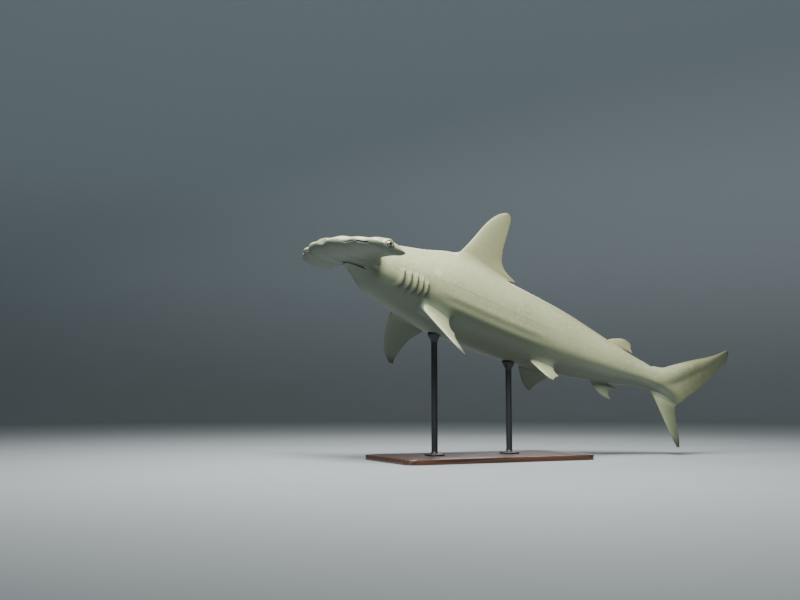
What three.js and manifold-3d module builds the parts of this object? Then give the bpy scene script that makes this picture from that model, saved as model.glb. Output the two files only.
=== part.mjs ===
// Scalloped hammerhead shark, a still, life-size museum model held over a flat base by two rods.
// Millimetres, +Z up, snout towards -X. The origin is the centre of the base's underside.
// The animal is laid out in percent of its total length: a station runs along the bent midline
// from the snout (0) to the tail tip, side is towards its right, and height is from the midline.

import * as THREE from 'three';
import { mergeVertices } from 'three/addons/utils/BufferGeometryUtils.js';
import Module from 'manifold-3d';

const wasm = await Module();
wasm.setup();

// Driving dimensions.
const TOTAL_LENGTH = 2600;
const PERCENT = TOTAL_LENGTH / 100;
const GAP = 0.3;
const NOSE_UP = 17.7;
const BANK = -1.5;
const MIDLINE_HEIGHT = 668;
const REFERENCE_STATION = 35;
const BALANCE = { x: 13, y: 29 };

// Heading of the midline in degrees at stations along it: the S of the swimming stroke.
const YAW = [
  [0, 14.8], [12, 12.3], [25, 6.4], [38, -0.1], [50, -7.8], [62, -14], [72, -14.9], [80, 8.2], [100, 45.7],
];
const MIDLINE_STEPS = 24;

// Cross sections: station, lowest height, height of the widest level, highest height, half-width.
const BODY = [
  [2.8, -0.4, 0.3, 1, 1.6],
  [5, -1.3, 0.25, 1.8, 2.5],
  [8, -2.4, 0.1, 2.8, 3.1],
  [10, -3.5, 0, 3.6, 3.5],
  [12, -4.5, 0, 4.3, 4.1],
  [16, -5.2, 0, 5.5, 5.1],
  [20, -5.8, 0, 6.6, 5.7],
  [28, -6.6, 0, 8.8, 6.1],
  [38, -6.5, 0, 7.9, 5.7],
  [50, -5.7, 0, 6.7, 4.3],
  [62, -4.2, 0, 3.9, 2.7],
  [69, -2.9, -0.2, 2.2, 1.75],
  [72, -2.6, -0.3, 1.8, 1.4],
  [74.5, -1.4, 0.6, 2.8, 1.1],
  [77.5, 0.7, 2.6, 4.3, 0.8],
  [81, 3.3, 4.8, 6.2, 0.55],
  [85, 6.1, 7.2, 8.2, 0.4],
  [89, 9, 9.8, 10.4, 0.25],
];
const BODY_SIDES = 28;
const BACK_RIDGE = 0.16;
const BODY_STATIONS = [
  2.8, 4, 5.5, 7, 8.5, 10, 12.5, 14, 16, 18, 19.5, 21, 23.5, 26, 28.5, 31, 33.5, 36, 39, 42, 45, 48,
  51, 55, 58, 61, 64, 67, 69.5, 72, 73.5, 75, 77, 79, 81.5, 84, 86.5, 89,
];
const HEAD_END = 12.5;
const GILLS_END = 21;
const TRUNK_SPLIT = 39;
const TRUNK_END = 55;
const STOCK_END = 72;

// Hammer: half its width, the station it pivots on with its own distance behind the snout there,
// its height, and in degrees how its front is lifted, its right side raised and its nose turned back.
const HAMMER = { half: 13.1, pivot: 9, behind: 7.8, level: 0.2, lift: -1.5, roll: 1.2, turn: -6 };
const HAMMER_SIDES = 16;
const HAMMER_FULLNESS = 0.25;
const HAMMER_STATIONS = [0, 0.1, 0.2, 0.3, 0.4, 0.5, 0.6, 0.7, 0.78, 0.85, 0.92, 0.97, 0.99, 1];
const HAMMER_REAR = [
  [0, 11], [0.15, 10.8], [0.26, 9.5], [0.36, 8.7], [0.55, 8.4], [0.8, 8.6], [0.94, 9], [1, 8.2],
];
const HAMMER_THICKNESS = [[0, 2.8], [0.3, 2.7], [0.5, 2.2], [0.8, 1.8], [0.93, 2], [1, 1.9]];
const FRONT_SWEEP = { depth: 3.4, power: 2.3 };
const FRONT_NOTCHES = [[0, 0.45, 0.1], [0.5, 0.5, 0.09], [0.8, 0.35, 0.06]];
const TIP_ROUNDING = { length: 0.07, setback: 0.9, bluntness: 1.04 };

const EYE = { behind: 5.3, reach: 13, level: 0.2, radius: 0.56 };
const LID = { radius: 0.6, tube: 0.13, proud: 0.16 };
const MOUTH = { front: 6.3, depth: 2.9, half: 2.6, power: 1.9, lip: 0.2, groove: 0.15, spread: 0.22 };
const NOSTRIL = { from: 0.7, to: 0.87, radius: 0.17, behind: 0.12, drop: 0.3 };

// Gill slits: station of the middle, middle height and slit length, front to back.
const GILLS = [
  { at: 15.2, middle: -1.2, length: 3.3 },
  { at: 16.6, middle: -1.3, length: 3.5 },
  { at: 17.9, middle: -1.4, length: 3.4 },
  { at: 19.1, middle: -1.5, length: 3.1 },
  { at: 20.2, middle: -1.4, length: 2.5 },
];
const GILL_BOW = 0.35;
const GILL_LEAN = 0.12;
const GILL_ROWS = 7;
// Profiles of a flap and of the slit behind it: distance behind the gill's line and out of the flank.
const GILL_FLAP = [[-1.05, -0.06], [-0.1, 0.24], [0, 0.19], [0, -0.4]];
const GILL_SLIT = [[0, 0.5], [0.24, 0.5], [0.1, -0.5], [0, -0.5]];

// Fin outlines: front edge (along, out), rear edge (along, out) and greatest thickness, root to tip.
const FIRST_DORSAL = [
  [27.2, 7.4, 38, 6.8, 1.5],
  [28, 9.1, 38.6, 7.9, 1.3],
  [28.6, 10.2, 41, 8.35, 1],
  [29.4, 11.6, 38.3, 9.6, 0.95],
  [30.4, 13.6, 37, 11.4, 0.85],
  [31.5, 15.9, 36.7, 14.3, 0.7],
  [32.7, 17.9, 36.8, 16.8, 0.55],
  [34.2, 19.5, 36.8, 18.9, 0.42],
  [35.7, 20.25, 36.5, 20.1, 0.25],
];
const SECOND_DORSAL = [
  [61, 2.6, 64.7, 2.2, 0.85],
  [61.6, 4.1, 65, 3.2, 0.7],
  [62.2, 4.45, 67, 3.05, 0.5],
  [63, 4.8, 66.4, 3.9, 0.45],
  [64, 5.1, 66.2, 4.6, 0.38],
  [65, 5.25, 65.7, 5.1, 0.25],
];
const ANAL = [
  [59.4, -3.4, 63, -2.8, 0.85],
  [60, -4.6, 63.6, -4, 0.7],
  [60.7, -5.3, 65.5, -4.4, 0.5],
  [61.6, -6, 63.9, -5.25, 0.45],
  [62.9, -6.6, 64.1, -6.1, 0.38],
  [64.2, -6.85, 64.8, -6.7, 0.25],
];
const CAUDAL_UPPER = [
  [71.8, 0.8, 72.4, -1.8, 1.3],
  [73.2, 2, 75.2, -3, 1.2],
  [75.2, 3.3, 77.9, -3.75, 1],
  [77.3, 4.5, 80.1, -1.6, 0.85],
  [80, 5.95, 82.5, 0.4, 0.75],
  [82.8, 7.3, 85, 2.7, 0.65],
  [85.6, 8.7, 87.4, 4.8, 0.55],
  [88, 9.95, 89.9, 6.9, 0.5],
  [90, 11, 91.3, 8.5, 0.45],
  [91.3, 11.65, 92.9, 8.9, 0.4],
  [92.6, 12.25, 94, 10.3, 0.35],
  [93.4, 12.55, 94.1, 11.8, 0.2],
];
const CAUDAL_LOWER = [
  [71.8, -1.4, 76.5, -1.4, 1.3],
  [72.4, -3.2, 77.8, -3.8, 1.1],
  [73.5, -4.6, 77.9, -5, 0.9],
  [75.1, -6.5, 78.6, -6.6, 0.7],
  [76.8, -8.4, 79.5, -8.1, 0.55],
  [78.5, -10, 80.4, -9.7, 0.4],
  [80.2, -11.3, 80.9, -11.1, 0.22],
];
const PECTORAL = [
  [-0.2, -1.6, 4.8, -1.6, 1.5],
  [0, 0, 5.2, 0, 1.35],
  [0.4, 1.6, 7.4, 1.7, 1.05],
  [1, 3.5, 6.7, 3.7, 0.85],
  [1.9, 5.8, 6.3, 6, 0.7],
  [3.1, 8.1, 6.3, 8.3, 0.55],
  [4.6, 10.2, 6.5, 10.3, 0.4],
  [6, 11.4, 6.8, 11.4, 0.22],
];
const PELVIC = [
  [-0.3, -1.3, 4.2, -1.3, 0.9],
  [0, 0, 4.6, 0, 0.8],
  [0.8, 1, 6.5, 1, 0.6],
  [1.8, 2.3, 5.6, 2.4, 0.5],
  [3, 3.6, 5, 3.7, 0.4],
  [4.1, 4.4, 4.8, 4.4, 0.22],
];
// Where paired fins leave the body; in degrees how steeply they hang, swing back and tip their rear
// edge down; and how far their ends curl.
const PECTORAL_ROOT = { station: 20.6, reach: 4.6, height: -4.3, curl: 0.4 };
const PECTORAL_LEFT = { ...PECTORAL_ROOT, side: -1, droop: 30.5, swing: -6, tip: 10 };
const PECTORAL_RIGHT = { ...PECTORAL_ROOT, side: 1, droop: 35, swing: 4, tip: 4 };
const PELVIC_ROOT = { station: 46, reach: 2.1, height: -5, curl: 0.2 };
const PELVIC_LEFT = { ...PELVIC_ROOT, side: -1, droop: 31, swing: -7, tip: 4 };
const PELVIC_RIGHT = { ...PELVIC_ROOT, side: 1, droop: 53, swing: 0, tip: 4 };
const FIN_SIDES = 14;
const FRONT_FULLNESS = 0.35;

const SKIN = 0x8c8b78;
const FIN_SKIN = 0x7a7a6a;
const EYE_COLOUR = 0x1c1a16;
const LACQUER = 0x3a2a20;
const STEEL = 0x4b4d50;

// Line that parts the two tail lobes: from the end of the stock to the fork. The cut under it and the
// slab that squares the fin off at the stock are as wide, high and long as these say.
const LOBE_LINE = { from: [72, -1.5], to: [77.85, -3.78] };
const LOBE_CUT = { half: 3, bottom: -16, length: 13 };
const STOCK_SLAB = { half: 5, height: 8, length: 4 };

// Stand.
const BASE = { length: 960, width: 500, height: 22, corner: 60, bevel: 4 };
const ROD = { radius: 14, sides: 24, neck: 5, reachIn: 40 };
const FLANGE = { radius: 46, edge: 6, chamfer: 3, height: 9, fillet: 6 };
const CUP = { radius: 30, height: 26, rim: 4 };
const ROD_STATIONS = { front: 27.5, rear: 43.4 };

// A smooth curve through knots [at, value] that never overshoots them.
function curveThrough(knots) {
  const rises = knots.slice(1).map((knot, i) => (knot[1] - knots[i][1]) / (knot[0] - knots[i][0]));
  const slopes = knots.map((_, i) => {
    const before = rises[Math.max(i - 1, 0)];
    const after = rises[Math.min(i, rises.length - 1)];
    return before * after > 0 ? (2 * before * after) / (before + after) : 0;
  });
  return (at) => {
    const x = THREE.MathUtils.clamp(at, knots[0][0], knots.at(-1)[0]);
    const i = Math.max(0, knots.findLastIndex((knot, k) => knot[0] <= x && k < rises.length));
    const span = knots[i + 1][0] - knots[i][0];
    const t = (x - knots[i][0]) / span;
    const eased = t * t * (3 - 2 * t);
    const value = THREE.MathUtils.lerp(knots[i][1], knots[i + 1][1], eased);
    const lean = slopes[i] * t * (1 - t) * (1 - t) - slopes[i + 1] * t * t * (1 - t);
    return value + span * lean;
  };
}

// One curve for each column of a table whose first column is the place along it.
function columnsOf(rows) {
  return rows[0].slice(1).map((_, column) => curveThrough(rows.map((row) => [row[0], row[column + 1]])));
}

const headingAt = curveThrough(YAW.map(([station, degrees]) => [station, THREE.MathUtils.degToRad(degrees)]));
const [lowAt, widestAt, highAt, halfWidthAt] = columnsOf(BODY);

// Midline in plan, summed from the reference station in small steps.
function midlineAt(station) {
  const step = (station - REFERENCE_STATION) / MIDLINE_STEPS;
  const point = new THREE.Vector2();
  for (let i = 0; i < MIDLINE_STEPS; i += 1) {
    const heading = headingAt(REFERENCE_STATION + (i + 0.5) * step);
    point.x += Math.cos(heading) * step;
    point.y += Math.sin(heading) * step;
  }
  return point;
}

// A point of the animal, from its station, side and height.
function place(station, side, height) {
  const centre = midlineAt(station);
  const heading = headingAt(station);
  const x = centre.x - Math.sin(heading) * side;
  const y = centre.y + Math.cos(heading) * side;
  return new THREE.Vector3(x, y, height).multiplyScalar(PERCENT);
}

// A closed geometry through rings of equal length, its two ends capped from their middles.
function skinRings(rings) {
  const count = rings[0].length;
  const middleOf = (ring) => ring.reduce((sum, p) => sum.add(p), new THREE.Vector3()).divideScalar(count);
  const points = [...rings.flat(), middleOf(rings[0]), middleOf(rings.at(-1))];
  const index = [];
  rings.slice(1).forEach((_, i) => {
    for (let j = 0; j < count; j += 1) {
      const a = i * count + j;
      const b = i * count + ((j + 1) % count);
      index.push(a, b, a + count, b, b + count, a + count);
    }
  });
  const last = (rings.length - 1) * count;
  for (let j = 0; j < count; j += 1) {
    const next = (j + 1) % count;
    index.push(next, j, points.length - 2, last + j, last + next, points.length - 1);
  }
  const geometry = new THREE.BufferGeometry().setFromPoints(points);
  geometry.setIndex(index);
  return geometry;
}

function signedVolume(position, index) {
  const [a, b, c] = [new THREE.Vector3(), new THREE.Vector3(), new THREE.Vector3()];
  let sum = 0;
  for (let i = 0; i < index.count; i += 3) {
    [a, b, c].forEach((corner, k) => corner.fromBufferAttribute(position, index.getX(i + k)));
    sum += a.dot(b.cross(c));
  }
  return sum / 6;
}

// A solid for joins and cuts, its faces turned outwards.
function solidOf(geometry) {
  const bare = geometry.clone();
  bare.deleteAttribute('normal');
  bare.deleteAttribute('uv');
  const merged = mergeVertices(bare, 1e-3);
  const position = merged.getAttribute('position');
  const index = merged.getIndex();
  const triVerts = Uint32Array.from(index.array);
  if (signedVolume(position, index) < 0) {
    for (let i = 0; i < triVerts.length; i += 3) {
      [triVerts[i], triVerts[i + 1]] = [triVerts[i + 1], triVerts[i]];
    }
  }
  const vertProperties = Float32Array.from(position.array);
  return new wasm.Manifold(new wasm.Mesh({ numProp: 3, vertProperties, triVerts }));
}

function largestOf(solid) {
  return solid.decompose().reduce((best, piece) => (piece.volume() > best.volume() ? piece : best));
}

function geometryOf(solid) {
  const mesh = solid.getMesh();
  const geometry = new THREE.BufferGeometry();
  geometry.setAttribute('position', new THREE.BufferAttribute(Float32Array.from(mesh.vertProperties), 3));
  geometry.setIndex(new THREE.BufferAttribute(Uint32Array.from(mesh.triVerts), 1));
  geometry.computeVertexNormals();
  return geometry;
}

// One cross section of the body; grow widens it by a few tenths of a millimetre for a cut.
function bodyRing(station, grow = 0) {
  const margin = grow / PERCENT;
  const widest = widestAt(station);
  return Array.from({ length: BODY_SIDES }, (_, i) => {
    const angle = (i / BODY_SIDES) * 2 * Math.PI;
    const up = Math.sin(angle);
    const reach = up > 0 ? highAt(station) - widest + margin : widest - lowAt(station) + margin;
    const narrowing = 1 - BACK_RIDGE * Math.max(0, up) ** 2;
    return place(station, Math.cos(angle) * (halfWidthAt(station) + margin) * narrowing, widest + up * reach);
  });
}

function bodyGeometry(from, to, grow = 0) {
  const margin = GAP / 2 / PERCENT;
  const inner = BODY_STATIONS.filter((station) => station > from + 0.2 && station < to - 0.2);
  const stations = grow > 0 ? [from, ...inner, to] : [from + margin, ...inner, to - margin];
  return skinRings(stations.map((station) => bodyRing(station, grow)));
}

// Side of the body's surface at a station and height.
function flankAt(station, height) {
  const widest = widestAt(station);
  const reach = height > widest ? highAt(station) - widest : widest - lowAt(station);
  const up = THREE.MathUtils.clamp((height - widest) / reach, -1, 1);
  return halfWidthAt(station) * Math.sqrt(1 - up * up);
}

// Height of the body's underside at a station and side.
function undersideAt(station, side) {
  const across = THREE.MathUtils.clamp(side / halfWidthAt(station), -1, 1);
  return widestAt(station) - (widestAt(station) - lowAt(station)) * Math.sqrt(1 - across * across);
}

// Rings of a blade with a full front edge and a thin rear edge, through the rows of an outline.
function finRings(outline, toPoint, steps = 2) {
  const columns = columnsOf(outline.map((row, i) => [i, ...row]));
  const count = (outline.length - 1) * steps + 1;
  return Array.from({ length: count }, (_, k) => {
    const [frontAlong, frontOut, rearAlong, rearOut, thickness] = columns.map((curve) => curve(k / steps));
    return Array.from({ length: FIN_SIDES }, (_unused, i) => {
      const angle = (i / FIN_SIDES) * 2 * Math.PI;
      const across = (1 - Math.cos(angle)) / 2;
      const along = THREE.MathUtils.lerp(frontAlong, rearAlong, across);
      const out = THREE.MathUtils.lerp(frontOut, rearOut, across);
      const fullness = 1 + FRONT_FULLNESS * Math.cos(angle);
      return toPoint(along, out, (thickness / 2) * Math.sin(angle) * fullness);
    });
  });
}

function medianFin(outline, steps) {
  return solidOf(skinRings(finRings(outline, (along, out, off) => place(along, off, out), steps)));
}

function pairedFin(outline, { station, side, reach, height, droop, swing, tip, curl }) {
  const [hang, turn, pitch] = [droop, swing, tip].map((degrees) => THREE.MathUtils.degToRad(degrees));
  const span = outline.at(-1)[1];
  const toPoint = (along, out, off) => {
    const back = along * Math.cos(turn) + out * Math.sin(turn);
    const away = out * Math.cos(turn) - along * Math.sin(turn);
    const over = off - curl * Math.max(0, away / span) ** 2;
    const backward = back * Math.cos(pitch) + over * Math.sin(pitch);
    const upward = over * Math.cos(pitch) - back * Math.sin(pitch);
    const acrossBody = reach + away * Math.cos(hang) + upward * Math.sin(hang);
    const upBody = height - away * Math.sin(hang) + upward * Math.cos(hang);
    return place(station + backward, side * acrossBody, upBody);
  };
  return solidOf(skinRings(finRings(outline, toPoint)));
}

// How far the hammer's end has rounded off at a share of its half-width, from 0 to 1 at its very end.
function tipRounding(share) {
  return Math.max(0, share - 1 + TIP_ROUNDING.length) / TIP_ROUNDING.length;
}

// Front edge of the hammer at a share of its half-width: a broad arch with scalloped notches.
function hammerFront(share) {
  const notches = FRONT_NOTCHES.map(([at, depth, width]) => depth * Math.exp(-(((share - at) / width) ** 2)));
  const sweep = FRONT_SWEEP.depth * share ** FRONT_SWEEP.power;
  const notched = notches.reduce((sum, notch) => sum + notch, sweep);
  return notched + TIP_ROUNDING.setback * tipRounding(share) ** 3;
}

const hammerRear = curveThrough(HAMMER_REAR);
const hammerThickness = curveThrough(HAMMER_THICKNESS);

// A point of the head from its distance behind the snout, side and height over the hammer's own plane.
function placeOnHammer(along, side, off) {
  const lift = THREE.MathUtils.degToRad(HAMMER.lift);
  const roll = THREE.MathUtils.degToRad(HAMMER.roll);
  const heading = headingAt(HAMMER.pivot) + THREE.MathUtils.degToRad(HAMMER.turn);
  const ahead = HAMMER.behind - along;
  const forward = ahead * Math.cos(lift) - off * Math.sin(lift);
  const rise = ahead * Math.sin(lift) + off * Math.cos(lift);
  const across = side * Math.cos(roll) - rise * Math.sin(roll);
  const height = HAMMER.level + side * Math.sin(roll) + rise * Math.cos(roll);
  const centre = midlineAt(HAMMER.pivot);
  const x = centre.x - Math.cos(heading) * forward - Math.sin(heading) * across;
  const y = centre.y - Math.sin(heading) * forward + Math.cos(heading) * across;
  return new THREE.Vector3(x, y, height).multiplyScalar(PERCENT);
}

function hammerSolid() {
  const shares = [...HAMMER_STATIONS.slice(1).map((share) => -share).reverse(), ...HAMMER_STATIONS];
  const rings = shares.map((signed) => {
    const share = Math.abs(signed);
    const front = hammerFront(share);
    const rear = hammerRear(share);
    const thickness = hammerThickness(share) * Math.sqrt(TIP_ROUNDING.bluntness - tipRounding(share) ** 2);
    return Array.from({ length: HAMMER_SIDES }, (_, i) => {
      const angle = (i / HAMMER_SIDES) * 2 * Math.PI;
      const along = THREE.MathUtils.lerp(front, rear, (1 - Math.cos(angle)) / 2);
      const off = (thickness / 2) * Math.sin(angle) * (1 + HAMMER_FULLNESS * Math.cos(angle));
      return placeOnHammer(along, signed * HAMMER.half, off);
    });
  });
  return solidOf(skinRings(rings));
}

// A round bar of a few sides along a smooth line of points; its radius is in percent of the length.
function barSolid(points, radius, steps, sides = 8) {
  const outline = Array.from({ length: sides }, (_, i) => {
    const angle = (i / sides) * 2 * Math.PI;
    return new THREE.Vector2(Math.cos(angle), Math.sin(angle)).multiplyScalar(radius * PERCENT);
  });
  const extrudePath = new THREE.CatmullRomCurve3(points);
  return solidOf(new THREE.ExtrudeGeometry(new THREE.Shape(outline), { steps, extrudePath }));
}

// Points of the mouth's arch on the underside of the head, moved back and down by the given amounts.
function mouthLine(back, sink) {
  return Array.from({ length: 13 }, (_, i) => {
    const across = i / 6 - 1;
    const side = across * MOUTH.half;
    const station = MOUTH.front + MOUTH.depth * Math.abs(across) ** MOUTH.power + back;
    return place(station, side, undersideAt(station, side) + sink);
  });
}

function nostrilSolid(side) {
  const points = Array.from({ length: 7 }, (_, i) => {
    const share = THREE.MathUtils.lerp(NOSTRIL.from, NOSTRIL.to, i / 6);
    return placeOnHammer(hammerFront(share) + NOSTRIL.behind, side * share * HAMMER.half, -NOSTRIL.drop);
  });
  return barSolid(points, NOSTRIL.radius, 6, 5);
}

const eyeCentre = (side) => placeOnHammer(EYE.behind, side * EYE.reach, EYE.level);

function eyeSolid(side, grow = 0) {
  const ball = new THREE.SphereGeometry(EYE.radius * PERCENT + grow, 16, 10);
  return solidOf(ball.translate(...eyeCentre(side).toArray()));
}

// Rolled skin round the eye, standing square to the hammer's end.
function lidSolid(side) {
  const ring = new THREE.TorusGeometry(LID.radius * PERCENT, LID.tube * PERCENT, 5, 16);
  const out = new THREE.Vector3().subVectors(placeOnHammer(0, side, 0), placeOnHammer(0, 0, 0));
  const turned = new THREE.Quaternion().setFromUnitVectors(new THREE.Vector3(0, 0, 1), out.normalize());
  const centre = eyeCentre(side).addScaledVector(out, LID.proud * PERCENT);
  return solidOf(ring.applyQuaternion(turned).translate(...centre.toArray()));
}

function headSolid() {
  let head = hammerSolid().add(solidOf(bodyGeometry(BODY_STATIONS[0], HEAD_END)));
  const lips = [-1, 1].map((way) => barSolid(mouthLine(way * MOUTH.spread, 0.02), MOUTH.lip, 14, 6));
  lips.forEach((lip) => { head = head.add(lip); });
  head = head.subtract(barSolid(mouthLine(0, -0.05), MOUTH.groove, 14, 6));
  [-1, 1].forEach((side) => {
    head = head.add(lidSolid(side)).subtract(nostrilSolid(side)).subtract(eyeSolid(side, GAP));
  });
  return head;
}

// Rings along a gill line; each profile point is (behind the line, out of the flank) in percent.
function gillRings({ at, middle, length }, side, profile) {
  return Array.from({ length: GILL_ROWS }, (_, i) => {
    const share = (2 * i) / (GILL_ROWS - 1) - 1;
    const height = middle + (share * length) / 2;
    const fade = Math.sqrt(1.02 - share * share);
    const station = at - GILL_BOW * share * share - GILL_LEAN * share;
    return profile.map(([behind, out]) => {
      const lifted = out > 0 ? out * fade : out;
      const where = station + behind * (behind < 0 ? fade : 1);
      return place(where, side * (flankAt(where, height) + lifted), height);
    });
  });
}

function gillRegionSolid() {
  let region = solidOf(bodyGeometry(HEAD_END, GILLS_END));
  [-1, 1].forEach((side) => {
    GILLS.forEach((gill) => {
      region = region.add(solidOf(skinRings(gillRings(gill, side, GILL_FLAP))));
      region = region.subtract(solidOf(skinRings(gillRings(gill, side, GILL_SLIT))));
    });
  });
  return region;
}

// Everything under the line that parts the tail lobes, moved down by a drop in millimetres.
function underLobeLine(drop) {
  const [startStation, startHeight] = LOBE_LINE.from;
  const [endStation, endHeight] = LOBE_LINE.to;
  const slope = (endHeight - startHeight) / (endStation - startStation);
  const stations = Array.from({ length: LOBE_CUT.length + 1 }, (_, i) => startStation - 1 + i);
  const { half, bottom } = LOBE_CUT;
  const rings = stations.map((station) => {
    const top = startHeight + slope * (station - startStation) - drop / PERCENT;
    const corners = [[-half, top], [half, top], [half, bottom], [-half, bottom]];
    return corners.map(([side, height]) => place(station, side, height));
  });
  return solidOf(skinRings(rings));
}

// A slab that squares the tail fin off where it meets the stock.
function stockEnd() {
  const margin = GAP / 2 / PERCENT;
  const { half, height: up, length } = STOCK_SLAB;
  const corners = [[-half, up], [half, up], [half, -up], [-half, -up]];
  const rings = [STOCK_END - length, STOCK_END + margin].map((station) => (
    corners.map(([side, height]) => place(station, side, height))
  ));
  return solidOf(skinRings(rings));
}

function tailFinSolid() {
  const stock = solidOf(bodyGeometry(STOCK_END, BODY_STATIONS.at(-1)));
  const stockCut = solidOf(bodyGeometry(GILLS_END, STOCK_END, GAP)).add(stockEnd());
  return stock.add(medianFin(CAUDAL_UPPER, 1)).add(medianFin(CAUDAL_LOWER)).subtract(stockCut);
}

function skinMaterial(color) {
  return new THREE.MeshStandardMaterial({ color, roughness: 0.55, metalness: 0 });
}

const model = new THREE.Group();
const specimen = new THREE.Group();
specimen.rotation.set(THREE.MathUtils.degToRad(BANK), THREE.MathUtils.degToRad(NOSE_UP), 0, 'YXZ');
specimen.position.set(BALANCE.x, BALANCE.y, MIDLINE_HEIGHT);
model.add(specimen);
model.updateMatrixWorld(true);

function addPart(parent, name, solid, material) {
  const mesh = new THREE.Mesh(geometryOf(largestOf(solid)), material);
  mesh.name = name;
  parent.add(mesh);
}

const bodyCut = solidOf(bodyGeometry(BODY_STATIONS[0], BODY_STATIONS.at(-1), GAP));

addPart(specimen, 'head', headSolid(), skinMaterial(SKIN));
addPart(specimen, 'gill_region', gillRegionSolid(), skinMaterial(SKIN));
addPart(specimen, 'trunk_front', solidOf(bodyGeometry(GILLS_END, TRUNK_SPLIT)), skinMaterial(SKIN));
addPart(specimen, 'trunk_rear', solidOf(bodyGeometry(TRUNK_SPLIT, TRUNK_END)), skinMaterial(SKIN));
addPart(specimen, 'tail_stock', solidOf(bodyGeometry(TRUNK_END, STOCK_END)), skinMaterial(SKIN));

const fins = {
  first_dorsal_fin: medianFin(FIRST_DORSAL),
  second_dorsal_fin: medianFin(SECOND_DORSAL),
  anal_fin: medianFin(ANAL),
  pectoral_fin_left: pairedFin(PECTORAL, PECTORAL_LEFT),
  pectoral_fin_right: pairedFin(PECTORAL, PECTORAL_RIGHT),
  pelvic_fin_left: pairedFin(PELVIC, PELVIC_LEFT),
  pelvic_fin_right: pairedFin(PELVIC, PELVIC_RIGHT),
};
Object.entries(fins).forEach(([name, fin]) => {
  addPart(specimen, name, fin.subtract(bodyCut), skinMaterial(FIN_SKIN));
});

const tailFin = tailFinSolid();
addPart(specimen, 'caudal_fin_upper', tailFin.subtract(underLobeLine(0)), skinMaterial(FIN_SKIN));
addPart(specimen, 'caudal_fin_lower', tailFin.intersect(underLobeLine(GAP)), skinMaterial(FIN_SKIN));

const eyeMaterial = new THREE.MeshStandardMaterial({ color: EYE_COLOUR, roughness: 0.1, metalness: 0 });
addPart(specimen, 'eye_left', eyeSolid(-1), eyeMaterial);
addPart(specimen, 'eye_right', eyeSolid(1), eyeMaterial);

function roundedRectangle(length, width, corner) {
  const [x, y] = [length / 2, width / 2];
  const shape = new THREE.Shape();
  shape.moveTo(corner - x, -y);
  shape.lineTo(x - corner, -y);
  shape.absarc(x - corner, corner - y, corner, -Math.PI / 2, 0);
  shape.absarc(x - corner, y - corner, corner, 0, Math.PI / 2);
  shape.absarc(corner - x, y - corner, corner, Math.PI / 2, Math.PI);
  shape.absarc(corner - x, corner - y, corner, Math.PI, 1.5 * Math.PI);
  return shape;
}

function baseSolid() {
  const { length, width, height, corner, bevel } = BASE;
  const shape = roundedRectangle(length - 2 * bevel, width - 2 * bevel, corner);
  const geometry = new THREE.ExtrudeGeometry(shape, {
    depth: height - 2 * bevel,
    bevelEnabled: true,
    bevelThickness: bevel,
    bevelSize: bevel,
    bevelSegments: 1,
    curveSegments: 5,
  });
  return solidOf(geometry.translate(0, 0, bevel));
}

// A rod with a flanged foot and a cup under the belly, cut to the belly's own curve.
function rodSolid(station) {
  const belly = place(station, 0, lowAt(station)).applyMatrix4(specimen.matrixWorld);
  const foot = BASE.height + GAP;
  const top = belly.z - foot;
  const profile = [
    [0, 0],
    [FLANGE.radius, 0],
    [FLANGE.radius, FLANGE.edge],
    [FLANGE.radius - FLANGE.chamfer, FLANGE.height],
    [ROD.radius + ROD.neck, FLANGE.height + 2],
    [ROD.radius, FLANGE.height + 2 + FLANGE.fillet],
    [ROD.radius, top - CUP.height],
    [CUP.radius, top - CUP.rim],
    [CUP.radius, top + ROD.reachIn],
    [0, top + ROD.reachIn],
  ].map(([out, up]) => new THREE.Vector2(out, up));
  const turned = new THREE.LatheGeometry(profile, ROD.sides).rotateX(Math.PI / 2);
  const posed = bodyGeometry(GILLS_END, STOCK_END, GAP).applyMatrix4(specimen.matrixWorld);
  return solidOf(turned.translate(belly.x, belly.y, foot)).subtract(solidOf(posed));
}

const lacquer = new THREE.MeshStandardMaterial({ color: LACQUER, roughness: 0.35 });
addPart(model, 'stand_base', baseSolid(), lacquer);
Object.entries(ROD_STATIONS).forEach(([name, station]) => {
  const material = new THREE.MeshStandardMaterial({ color: STEEL, roughness: 0.35, metalness: 0.8 });
  addPart(model, `stand_rod_${name}`, rodSolid(station), material);
});

export default model;
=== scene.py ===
"""Scalloped hammerhead shark as a still, life-size museum model, held over a flat base by two rods.

The frame is in metres, +Z up, snout towards -X, with its origin under the middle of the base.
The animal is laid out in percent of its total length: a station runs along the bent midline from the
snout (0) to the tail tip, side is towards its right, and height is from the midline.
"""

import bisect
import math
from functools import lru_cache

import bmesh
import bpy
from mathutils import Matrix, Vector
from mathutils.bvhtree import BVHTree
from mathutils.kdtree import KDTree


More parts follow.
